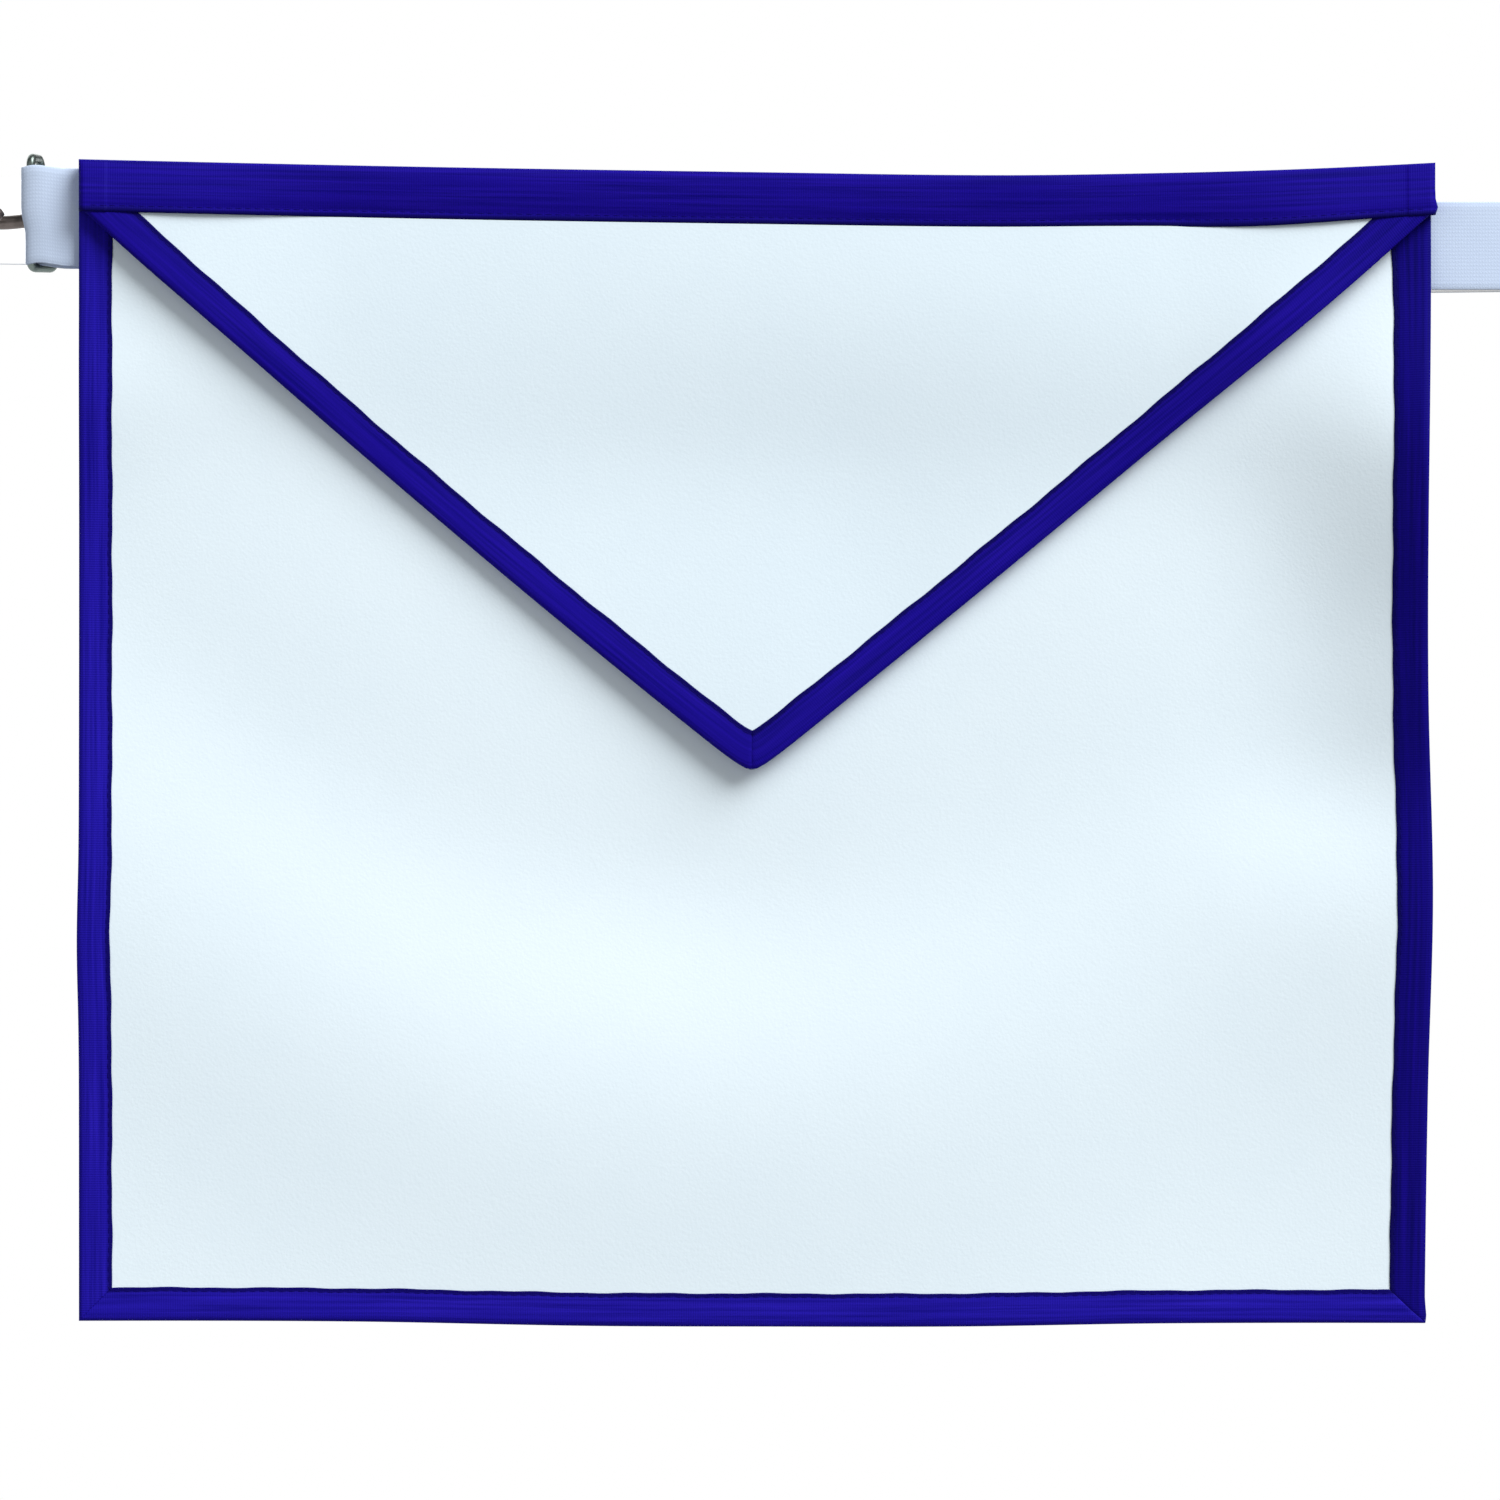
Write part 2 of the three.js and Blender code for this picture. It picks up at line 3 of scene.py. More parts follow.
import bmesh
import bpy
import numpy as np
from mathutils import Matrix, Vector


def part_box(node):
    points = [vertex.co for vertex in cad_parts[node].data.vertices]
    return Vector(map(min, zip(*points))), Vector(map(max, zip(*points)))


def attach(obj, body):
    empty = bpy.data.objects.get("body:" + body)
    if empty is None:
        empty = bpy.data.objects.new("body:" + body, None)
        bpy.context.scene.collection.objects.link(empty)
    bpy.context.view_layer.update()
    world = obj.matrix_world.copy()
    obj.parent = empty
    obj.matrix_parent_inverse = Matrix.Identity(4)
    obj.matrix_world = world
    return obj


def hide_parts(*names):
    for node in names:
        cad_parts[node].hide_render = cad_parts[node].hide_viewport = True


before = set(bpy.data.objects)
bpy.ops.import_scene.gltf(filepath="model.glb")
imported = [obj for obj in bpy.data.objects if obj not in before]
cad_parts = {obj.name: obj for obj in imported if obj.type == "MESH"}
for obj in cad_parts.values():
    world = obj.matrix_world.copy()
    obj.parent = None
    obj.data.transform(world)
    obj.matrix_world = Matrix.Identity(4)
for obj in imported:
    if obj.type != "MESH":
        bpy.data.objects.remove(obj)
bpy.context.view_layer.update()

# A white leather apron with a triangular flap, edged in royal blue ribbon and worn on a webbing belt.
# Metres throughout, +Z up, with the apron's front towards -Y.

# The camera, lights and floor
# The apron is seen square on from far away and is lit softly from the upper right against white.
# The floor lies a waist's height below the belt.

photo_width = 0.45  # what the picture spans at the apron's front
picture_centre = Vector((-0.0021, -0.004, -0.1659))
camera_distance = 6.0
waist_height = 1.05
floor_reach = 6.0
key_from = Vector((0.55, -0.46, 0.7))
fill_from = Vector((-0.6, -0.8, 0.05))
back_from = Vector((-0.3, 0.85, 0.4))
key_strength = 4.3
fill_strength = 0.45
back_strength = 2.2
key_spread = 40
side_spread = 70
sky_light = 0.27

camera = bpy.data.objects.new("camera", bpy.data.cameras.new("camera"))
bpy.context.scene.collection.objects.link(camera)
bpy.context.scene.camera = camera
camera.location = picture_centre - Vector((0, camera_distance, 0))
camera.rotation_euler = (math.radians(90), 0, 0)
camera.data.sensor_width = 36
camera.data.lens = camera.data.sensor_width * camera_distance / photo_width
bpy.context.scene.view_settings.view_transform = "Standard"


def soft_light(name, comes_from, spread, strength):
    """Even light from one side. The wider its spread in degrees, the softer its shadows."""
    lamp = bpy.data.lights.new(name, "SUN")
    lamp.angle = math.radians(spread)
    lamp.energy = strength
    light = bpy.data.objects.new(name, lamp)
    light.location = picture_centre + comes_from
    light.rotation_euler = comes_from.to_track_quat("Z", "Y").to_euler()
    bpy.context.scene.collection.objects.link(light)


soft_light("key_light", key_from, key_spread, key_strength)
soft_light("fill_light", fill_from, side_spread, fill_strength)
soft_light("back_light", back_from, side_spread, back_strength)


class Value:
    """An output of a shader node. Arithmetic on it adds Math nodes."""

    def __init__(self, finish, socket):
        self.finish = finish
        self.socket = socket

    def maths(self, operation, *values):
        return self.finish.node("ShaderNodeMath", {"operation": operation}, dict(enumerate(values)))

    def __add__(self, other):
        return self.maths("ADD", self, other)

    __radd__ = __add__

    def __sub__(self, other):
        return self.maths("SUBTRACT", self, other)

    def __mul__(self, other):
        return self.maths("MULTIPLY", self, other)

    __rmul__ = __mul__

    def sine(self):
        return self.maths("SINE", self)


class Finish:
    """A surface's material, which starts as Blender's main shader with some sockets set."""

    def __init__(self, name, constants):
        self.material = bpy.data.materials.new(name)
        self.material.use_nodes = True
        self.tree = self.material.node_tree
        self.shader = self.tree.nodes["Principled BSDF"]
        for socket, value in constants.items():
            self.shader.inputs[socket].default_value = value

    def fill(self, node, inputs):
        for socket, value in inputs.items():
            if isinstance(value, Value):
                self.tree.links.new(value.socket, node.inputs[socket])
            else:
                node.inputs[socket].default_value = value

    def node(self, kind, settings, inputs, output=0):
        """Adds a node, with its settings made before its sockets are filled, and gives one output."""
        node = self.tree.nodes.new(kind)
        for setting, value in settings.items():
            setattr(node, setting, value)
        self.fill(node, inputs)
        return Value(self, node.outputs[output])

    def noise(self, place, scale, detail):
        inputs = {"Vector": place, "Scale": scale, "Detail": detail}
        return self.node("ShaderNodeTexNoise", {}, inputs)

    def stretch(self, place, scales):
        return self.node("ShaderNodeVectorMath", {"operation": "MULTIPLY"}, {0: place, 1: scales})

    def blend(self, factor, first, second):
        """A colour between two, each of which is a colour or another blend."""
        return self.node("ShaderNodeMix", {"data_type": "RGBA"}, {0: factor, 6: first, 7: second}, 2)

    def use(self, inputs):
        self.fill(self.shader, inputs)

    def relief(self, height, depth):
        """Bumps the surface by a height from 0 to 1, which is as deep as depth."""
        inputs = {"Height": height, "Distance": depth, "Strength": 1.0}
        self.use({"Normal": self.node("ShaderNodeBump", {}, inputs)})


def colour(red, green, blue):
    """A colour given in the usual 0 to 255 steps."""
    steps = [channel / 255 for channel in (red, green, blue)]
    return tuple(s / 12.92 if s <= 0.04045 else ((s + 0.055) / 1.055) ** 2.4 for s in steps) + (1.0,)


world = bpy.data.worlds.new("white_surroundings")
world.use_nodes = True
bpy.context.scene.world = world
background = world.node_tree.nodes["Background"]
background.inputs["Color"].default_value = (1, 1, 1, 1)
light_path = world.node_tree.nodes.new("ShaderNodeLightPath")
brightness = world.node_tree.nodes.new("ShaderNodeMapRange")
brightness.inputs["To Min"].default_value = sky_light
brightness.inputs["To Max"].default_value = 1.0
world.node_tree.links.new(light_path.outputs["Is Camera Ray"], brightness.inputs["Value"])
world.node_tree.links.new(brightness.outputs["Result"], background.inputs["Strength"])

floor_finish = Finish("pale_floor", {"Roughness": 0.8})
floor_spots = floor_finish.noise(floor_finish.node("ShaderNodeTexCoord", {}, {}, "Object"), 3.0, 4.0)
floor_tone = floor_finish.blend(floor_spots, colour(236, 237, 238), colour(243, 243, 244))
floor_finish.use({"Base Color": floor_tone})

floor_mesh = bpy.data.meshes.new("floor")
floor_corners = [(-floor_reach, -floor_reach), (floor_reach, -floor_reach)]
floor_corners += [(floor_reach, floor_reach), (-floor_reach, floor_reach)]
floor_mesh.from_pydata([(x, y, -waist_height) for x, y in floor_corners], [], [(0, 1, 2, 3)])
floor_mesh.materials.append(floor_finish.material)
floor = bpy.data.objects.new("floor", floor_mesh)
floor.visible_diffuse = False  # so that it throws no light up into the folds
bpy.context.scene.collection.objects.link(floor)

# The panel
# One piece of smooth white leather, cut square and sewn into ribbon all round. It hangs from the
# waistband, whose ends the belt lifts, so that it falls in wide, shallow, U-shaped folds.

half_width = (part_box("waistband")[1][0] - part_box("waistband")[0][0]) / 2
apron_drop = 0.3464
band_height = 0.015
leather = 0.0012
seam_gap = 0.0003
cad_ribbon = 0.001
edge_inset = cad_ribbon + seam_gap
panel_middle = -(cad_ribbon + seam_gap + leather / 2)
top_sag = 0.0048
fold_depth = 0.0042
loose_reach = (0.03, 0.26)
left_bulge = 0.0006
left_bulge_down = 0.675
left_bulge_reach = 0.06
panel_step = 0.0025

top_line = [
    {"across": -1.0, "rise": 1.0},
    {"across": -0.5, "rise": 0.53},
    {"across": 0.0, "rise": 0.19},
    {"across": 0.35, "rise": 0.0},
    {"across": 0.6, "rise": 0.14},
    {"across": 0.8, "rise": 0.38},
    {"across": 1.0, "rise": 0.78},
]
bottom_line = [
    {"across": -1.0, "rise": 0.0017},
    {"across": -0.6, "rise": 0.0015},
    {"across": -0.25, "rise": 0.0002},
    {"across": 0.0, "rise": 0.0},
    {"across": 0.3, "rise": 0.0},
    {"across": 0.6, "rise": 0.0009},
    {"across": 1.0, "rise": 0.001},
]
right_line = [
    {"down": 0.0, "drawn_in": 0.0065},
    {"down": 0.12, "drawn_in": 0.0065},
    {"down": 0.3, "drawn_in": 0.011},
    {"down": 0.45, "drawn_in": 0.0105},
    {"down": 0.63, "drawn_in": 0.0035},
    {"down": 0.8, "drawn_in": 0.0105},
    {"down": 1.0, "drawn_in": 0.0155},
]
panel_folds = [
    {"across": -0.06, "down": 0.813, "wide": 1.63, "tall": 0.169, "bow": 0.2, "height": 0.82},
    {"across": -0.05, "down": 0.647, "wide": 0.91, "tall": 0.108, "bow": 0.3, "height": -0.37},
    {"across": -0.09, "down": 0.623, "wide": 0.2, "tall": 0.08, "bow": 0.0, "height": -0.17},
    {"across": 0.24, "down": 0.265, "wide": 1.02, "tall": 0.08, "bow": 0.0, "height": -0.17},
    {"across": 0.82, "down": 0.332, "wide": 0.24, "tall": 0.183, "bow": 0.0, "height": -1.57},
    {"across": 0.9, "down": 0.539, "wide": 0.2, "tall": 0.08, "bow": 0.0, "height": -0.83},
    {"across": 1.1, "down": 0.284, "wide": 0.22, "tall": 0.117, "bow": 0.0, "height": 2.14},
    {"across": -1.06, "down": 0.173, "wide": 0.2, "tall": 0.08, "bow": 0.0, "height": 0.72},
    {"across": 0.78, "down": 0.833, "wide": 0.34, "tall": 0.377, "bow": 0.0, "height": -0.41},
    {"across": 0.94, "down": 0.259, "wide": 0.32, "tall": 0.351, "bow": 0.0, "height": 2.19},
    {"across": -0.3, "down": 0.335, "wide": 1.38, "tall": 0.319, "bow": 0.0, "height": -0.27},
]


def curve_through(rows, place, value):
    """A smooth curve through a table's rows."""
    places = np.array([row[place] for row in rows])
    values = np.array([row[value] for row in rows])
    steps = np.diff(values) / np.diff(places)
    inner = (values[2:] - values[:-2]) / (places[2:] - places[:-2])
    first = 1.5 * steps[0] - 0.5 * inner[0]
    last = 1.5 * steps[-1] - 0.5 * inner[-1]
    slopes = np.concatenate([[first], inner, [last]])

    def curve(at):
        at = np.clip(at, places[0], places[-1])
        i = np.clip(np.searchsorted(places, at) - 1, 0, len(places) - 2)
        gap = places[i + 1] - places[i]
        t = (at - places[i]) / gap
        level = values[i] + (values[i + 1] - values[i]) * t * t * (3 - 2 * t)
        return level + gap * t * (1 - t) * (slopes[i] * (1 - t) - slopes[i + 1] * t)

    return curve


def smooth(at, low, high):
    """0 below low, 1 above high, and an easy rise between."""
    t = np.clip((at - low) / (high - low), 0, 1)
    return t * t * (3 - 2 * t)


top_rise = curve_through(top_line, "across", "rise")
bottom_rise = curve_through(bottom_line, "across", "rise")
right_drawn_in = curve_through(right_line, "down", "drawn_in")


def folds_at(folds, across, down):
    total = np.zeros_like(across + down)
    for fold in folds:
        sideways = (across - fold["across"]) / fold["wide"]
        middle = fold["down"] - fold["bow"] * (across - fold["across"]) ** 2
        lengthways = (down - middle) / fold["tall"]
        total = total + fold["height"] * np.exp(-(sideways**2) - lengthways**2)
    return total


def hang(x, y, z):
    """Takes points of the flat apron, whose top edge has z = 0, to their places on the hanging one."""
    across, down = x / half_width, -z / apron_drop
    top = band_height / 2 + top_sag * (top_rise(across) - top_rise(0.0))
    bottom = band_height / 2 - apron_drop + bottom_rise(across)
    fold = fold_depth * smooth(down, *loose_reach) * folds_at(panel_folds, across, down)
    return np.stack(np.broadcast_arrays(x, y - fold, top + (bottom - top) * down), -1)


def hang_panel(x, y, z):
    """The panel's right side is drawn in where it curls, and its left side bulges out low down."""
    across, down = x / half_width, -z / apron_drop
    near_bulge = np.exp(-(((down - left_bulge_down) / left_bulge_reach) ** 2))
    bulge = left_bulge * smooth(-across, 0.5, 1.0) * near_bulge
    return hang(x - np.maximum(0, x) * right_drawn_in(down) - bulge, y, z)


def add_piece(name, points, spread, materials):
    """A mesh over rows of points. spread holds each point's place on the flat material."""
    rows, columns = points.shape[:2]
    mesh = bpy.data.meshes.new(name)
    corners = np.arange(rows * columns).reshape(rows, columns)
    quads = np.stack([corners[:-1, :-1], corners[1:, :-1], corners[1:, 1:], corners[:-1, 1:]], -1)
    mesh.from_pydata(points.reshape(-1, 3).tolist(), [], quads.reshape(-1, 4).tolist())
    flat = mesh.uv_layers.new(name="flat")
    order = np.zeros(len(mesh.loops), int)
    mesh.loops.foreach_get("vertex_index", order)
    flat.data.foreach_set("uv", spread.reshape(-1, 2)[order].ravel())
    for material in materials:
        mesh.materials.append(material)
    mesh.shade_smooth()
    piece = bpy.data.objects.new(name, mesh)
    bpy.context.scene.collection.objects.link(piece)
    return piece


def thicken(piece, thickness, side, back_material=0):
    """Gives a sheet its thickness: side is 0 for both ways and -1 for inwards."""
    wall = piece.modifiers.new("thickness", "SOLIDIFY")
    wall.thickness = thickness
    wall.offset = side
    wall.use_even_offset = True
    wall.material_offset = back_material


def leather_finish(name, tone, shade, roughness, grain, pore_depth):
    """Dyed leather: soft clouds of tone, a fine pebbled grain and shallow pores. grain is how many
    pebbles lie side by side in a metre."""
    finish = Finish(name, {"Specular IOR Level": 0.4})
    place = finish.node("ShaderNodeTexCoord", {}, {}, "Object")
    clouds = finish.noise(place, 8.0, 3.0)
    mottle = finish.noise(place, 90.0, 4.0)
    pebbles = finish.node(
        "ShaderNodeTexVoronoi", {"feature": "SMOOTH_F1"}, {"Vector": place, "Scale": grain}, "Distance"
    )
    pores = finish.noise(place, grain * 1.7, 3.0)
    finish.use({"Base Color": finish.blend(clouds * 0.7 + mottle * 0.3, shade, tone)})
    finish.use({"Roughness": roughness + 0.12 * (mottle - 0.5)})
    finish.relief(pebbles * 0.6 + pores * 0.4, pore_depth)
    return finish.material


white_leather = leather_finish(
    "white_leather", colour(231, 244, 251), colour(223, 238, 247), 0.5, 1100.0, 0.00005
)
flesh_side = leather_finish(
    "leather_flesh_side", colour(233, 234, 230), colour(219, 220, 214), 0.85, 700.0, 0.0001
)

panel_side = half_width - edge_inset
panel_columns = np.linspace(-panel_side, panel_side, int(2 * panel_side / panel_step))
panel_rows = np.linspace(-edge_inset, -apron_drop + edge_inset, int(apron_drop / panel_step))
panel_x, panel_z = np.meshgrid(panel_columns, panel_rows)
panel_points = hang_panel(panel_x, np.full_like(panel_x, panel_middle), panel_z)
panel_spread = np.stack([panel_x, panel_z], -1)
panel = add_piece("panel_leather", panel_points, panel_spread, [white_leather, flesh_side])
thicken(panel, leather, 0, back_material=1)
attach(panel, "root")
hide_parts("panel")

# The edge binding
# Royal blue ribbon, folded over the leather's edge and sewn through near its inner edges. It goes
# down the left side, along the bottom and up the right, where it is darker, and is folded on
# itself at the corners.

binding_width = 0.01
ribbon = 0.0004
bound_half = 0.0014
binding_step = 0.0025
seam_inwards = 0.885  # the place of the seam across the binding, where the thread pulls it in
rib_pitch = 0.0007
arm_spacing = 0.37  # sets each arm apart on the flat ribbon, so that its streaks are its own
mitre_stops = (0.0, 0.0003, 0.0007, 0.0013, 0.002)
mitre_dip = 0.12
mitre_dip_reach = 0.0006
right_widening = 0.0008
corner_widening = 0.0012
corner_widening_reach = 0.035
fold_nib = 0.0005
fold_nib_height = 0.0025
fold_nib_reach = 0.003
fold_nib_width = 0.004
widening_from = 0.1
widening_to = 0.19
tuck_length = 0.006
tuck_thin = 0.62
tuck_reach = 0.012

inner_edge_waves = [
    {"depth": 0.00012, "reach": 0.0061, "shift": 90},
    {"depth": 0.00008, "reach": 0.0023, "shift": 0},
]
binding_profile = [
    {"inwards": 1.0, "height": 0.6},
    {"inwards": 0.97, "height": 0.63},
    {"inwards": 0.92, "height": 0.63},
    {"inwards": seam_inwards, "height": 0.58},
    {"inwards": 0.85, "height": 0.63},
    {"inwards": 0.75, "height": 0.7},
    {"inwards": 0.6, "height": 0.8},
    {"inwards": 0.4, "height": 0.9},
    {"inwards": 0.2, "height": 0.96},
    {"inwards": 0.1, "height": 0.9},
    {"inwards": 0.035, "height": 0.68},
    {"inwards": 0.0, "height": 0.3},
]


def ribbon_finish(name, tone, streak, shade, selvedge):
    """Corded ribbon: fine ribs across it, faint streaks along it and painted shade darkening it towards
    its selvedges.
    """
    finish = Finish(name, {"Specular IOR Level": 0.06})
    flat = finish.node("ShaderNodeUVMap", {"uv_map": "flat"}, {})
    along = finish.node("ShaderNodeSeparateXYZ", {}, {"Vector": flat}, "X")
    from_edge = finish.node("ShaderNodeSeparateXYZ", {}, {"Vector": flat}, "Y")
    streaks = (finish.noise(finish.stretch(flat, (20.0, 1100.0, 1.0)), 1.0, 5.0) - 0.5) * 2.6 + 0.5
    cloud = (finish.noise(finish.stretch(flat, (28.0, 160.0, 1.0)), 1.0, 3.0) - 0.5) * 2.2 + 0.5
    threads = finish.noise(finish.stretch(flat, (900.0, 4000.0, 1.0)), 1.0, 2.0)
    ribs = (along * (2 * math.pi / rib_pitch)).sine()
    # Painted shade: the colour darkens towards both selvedges, where the ribbon meets the leather.
    darkening = {"From Min": 0.0007, "From Max": 0.0021, "To Min": 0.9, "To Max": 0.0}
    painted_edge_shade = finish.node(
        "ShaderNodeMapRange",
        {"interpolation_type": "SMOOTHSTEP"},
        {"Value": from_edge + cloud * 0.0003, **darkening},
    )
    dyed = finish.blend(cloud * 0.6, finish.blend(streaks, shade, streak), tone)
    finish.use({"Base Color": finish.blend(painted_edge_shade, dyed, selvedge)})
    finish.use({"Roughness": 0.62 + 0.12 * (streaks - 0.5)})
    finish.relief(ribs * 0.25 + streaks * 0.25 + threads * 0.5, 0.00008)
    return finish.material


# The fourth colour of each ribbon is the painted shade at its selvedges.
blue_ribbon = ribbon_finish(
    "blue_ribbon", colour(15, 0, 132), colour(31, 12, 154), colour(5, 0, 103), colour(4, 0, 78)
)
light_ribbon = ribbon_finish(
    "blue_ribbon_light", colour(24, 12, 150), colour(38, 24, 172), colour(12, 4, 118), colour(6, 0, 86)
)
dark_ribbon = ribbon_finish(
    "blue_ribbon_dark", colour(8, 0, 112), colour(20, 4, 134), colour(3, 0, 88), colour(3, 0, 72)
)


def from_either_edge(around):
    """Turns distances round a folded ribbon into distances from its nearer selvedge."""
    return np.minimum(around, around[-1] - around)


def ribbon_arm(start, end, inward, mitres, profile, depth, bow=0.0):
    """Rings of points along one straight run of folded ribbon, and their places on the flat ribbon.
    mitres gives, for each end, the flat vector that a metre inwards stands for, or None where the
    ribbon is cut square."""
    start, end = np.array(start), np.array(end)
    along = (end - start) / np.linalg.norm(end - start)
    length = np.linalg.norm(end - start)
    ends = [inward if mitre is None else mitre for mitre in mitres]
    stops = set(np.linspace(0, length, int(length / binding_step)))
    for stop in mitre_stops:
        if mitres[0] is not None:
            stops.add(stop)
        if mitres[1] is not None:
            stops.add(length - stop)
    stops = np.array(sorted(stops))
    share = (stops / length)[:, None]
    front = [row["inwards"] for row in profile]
    inwards = np.array(front + front[::-1]) * binding_width
    heights = np.array([row["height"] for row in profile])
    heights = np.concatenate([heights, -heights[::-1]]) * depth
    wobble = sum(w["depth"] * np.sin(stops / w["reach"] + length * w["shift"]) for w in inner_edge_waves)
    inner = np.abs(inwards) / binding_width
    inwards = inwards[None, :] + wobble[:, None] * inner[None, :] ** 2
    begin = start[None, None, :] + np.array(ends[0])[None, None, :] * inwards[:, :, None]
    finish_at = end[None, None, :] + np.array(ends[1])[None, None, :] * inwards[:, :, None]
    outward = -np.array(inward) * bow
    bowed = outward * np.sin(np.pi * share)[:, :, None]
    flat = begin + (finish_at - begin) * share[:, :, None] + bowed
    dips = np.zeros(len(stops))
    for mitre, distance in zip(mitres, (stops, length - stops)):
        if mitre is not None:
            dips = np.maximum(dips, mitre_dip * np.exp(-((distance / mitre_dip_reach) ** 2)))
    heights = heights[None, :] * (1 - dips)[:, None]
    section_steps = np.hypot(np.diff(inwards[0]), np.diff(heights[len(stops) // 2]))
    around = from_either_edge(np.concatenate([[0], np.cumsum(section_steps)]))
    run = (flat - start) @ along
    spread = np.stack([run, np.broadcast_to(around, run.shape)], -1)
    return flat[..., 0], -heights, flat[..., 1], spread


def join_arms(name, arms, place, materials):
    """One closed run of ribbon from its straight arms, merged where they meet."""
    joined = bmesh.new()
    flat = joined.loops.layers.uv.new("flat")
    for arm, (x, y, z, spread) in enumerate(arms):
        points = place(x, y, z)
        corners = [[joined.verts.new(point) for point in row] for row in points]
        for i in range(len(corners) - 1):
            for j in range(len(corners[0]) - 1):
                around = [(i, j), (i, j + 1), (i + 1, j + 1), (i + 1, j)]
                face = joined.faces.new([corners[a][b] for a, b in around])
                face.material_index = min(arm, len(materials) - 1)
                for loop, (a, b) in zip(face.loops, around):
                    loop[flat].uv = spread[a, b] + (arm_spacing * arm, 0)
    bmesh.ops.remove_doubles(joined, verts=joined.verts, dist=1e-6)
    mesh = bpy.data.meshes.new(name)
    joined.to_mesh(mesh)
    joined.free()
    for material in materials:
        mesh.materials.append(material)
    mesh.shade_smooth()
    piece = bpy.data.objects.new(name, mesh)
    bpy.context.scene.collection.objects.link(piece)
    return piece


def hang_binding(x, y, z):
    """The binding's legs thin out towards its ends, which are tucked under the waistband. Its fold at
    the lower right sticks out a little."""
    thinning = 1 - (1 - tuck_thin) * smooth(z, -band_height - tuck_reach, -band_height)
    inwards = np.clip((half_width - x) / binding_width, 0, 1) * smooth(x, widening_from, widening_to)
    near_band = np.exp(-(((z + band_height) / corner_widening_reach) ** 2))
    widening = right_widening + corner_widening * near_band
    nib = fold_nib * np.exp(-(((z + apron_drop - fold_nib_height) / fold_nib_reach) ** 2))
    nib = nib * smooth(x, half_width - fold_nib_width, half_width)
    return hang_panel(x - inwards * widening + nib, panel_middle + y * thinning, z)


binding_top = -band_height + tuck_length
top_left, top_right = (-half_width, binding_top), (half_width, binding_top)
low_left, low_right = (-half_width, -apron_drop), (half_width, -apron_drop)
left_mitre, right_mitre = (1, 1), (-1, 1)
edge_arms = [
    ribbon_arm(top_left, low_left, (1, 0), (None, left_mitre), binding_profile, bound_half),
    ribbon_arm(low_left, low_right, (0, 1), (left_mitre, right_mitre), binding_profile, bound_half),
    ribbon_arm(low_right, top_right, (-1, 0), (right_mitre, None), binding_profile, bound_half),
]
edge_ribbons = [light_ribbon, light_ribbon, dark_ribbon]
edge_binding = join_arms("edge_binding_ribbon", edge_arms, hang_binding, edge_ribbons)
thicken(edge_binding, ribbon, -1)
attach(edge_binding, "root")
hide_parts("edge_binding")

# The flap
# A triangle of the same leather, sewn in under the waistband in front of the panel. It rolls forward
# as it leaves the band and hangs free of the panel, with slight dents where it has been handled.

flap_drop = 0.1816
flap_tip = np.array((-0.0016, -flap_drop))
flap_side_margin = 0.0019
flap_tuck = 0.0012
flap_tip_blunt = 0.001
flap_bows = (0.0019, -0.0001)
flap_middle = panel_middle - leather - seam_gap
flap_roll = 0.0055
flap_roll_reach = 0.09
end_layers = 0.0024
end_layers_reach = (0.6, 0.95)
flap_fold_depth = 0.003
tip_rounding = 0.0028
tip_rounding_ends = (0.1, 0.15)
inner_rounding = 0.5
inner_rounding_reach = (0.002, 0.012)
dip_reach = (0.1, 0.9)
flap_step = 0.0022
tucked_rows = 7

corner_dips = [
    {"across": -0.93, "wide": 0.12, "depth": 0.0009},
    {"across": 0.85, "wide": 0.18, "depth": 0.0013},
]
flap_folds = [
    {"across": 0.18, "down": 0.347, "wide": 0.13, "tall": 0.125, "bow": 0.0, "height": -0.3},
    {"across": -0.05, "down": 0.267, "wide": 0.54, "tall": 0.165, "bow": 0.0, "height": -1.1},
    {"across": 0.34, "down": 0.078, "wide": 0.49, "tall": 0.098, "bow": 0.0, "height": 0.8},
    {"across": 0.86, "down": 0.17, "wide": 0.12, "tall": 0.075, "bow": 0.0, "height": 2.5},
]


def hang_flap(x, y, z):
    """Places points of the flap, with y counted from its middle."""
    below = np.maximum(0, -z - band_height)
    free = 1 - np.exp(-below / flap_roll_reach)
    folds = flap_fold_depth * free * folds_at(flap_folds, x / half_width, -z / apron_drop)
    over_bindings = smooth(np.abs(x) / half_width, *end_layers_reach) * smooth(-z, 0, band_height)
    return hang(x, flap_middle + y - end_layers * over_bindings - flap_roll * free - folds, z)


flap_corners = [np.array((side * (half_width - flap_side_margin), -band_height)) for side in (-1, 1)]
flap_inward = []
for side, corner in zip((-1, 1), flap_corners):
    run = (flap_tip - corner) / np.linalg.norm(flap_tip - corner)
    flap_inward.append(np.array((side * run[1], -side * run[0])))
flap_mitre = (flap_inward[0] + flap_inward[1]) / (1 + flap_inward[0] @ flap_inward[1])


def flap_edge(arm, z, inwards):
    """Where the flap's edge is at a height, moved inwards."""
    corner = flap_corners[arm]
    share = (z - corner[1]) / (flap_tip[1] - corner[1])
    bow = flap_bows[arm] * np.sin(np.pi * np.clip(share, 0, 1))
    return corner[0] + (flap_tip[0] - corner[0]) * share + (inwards - bow) / flap_inward[arm][0]


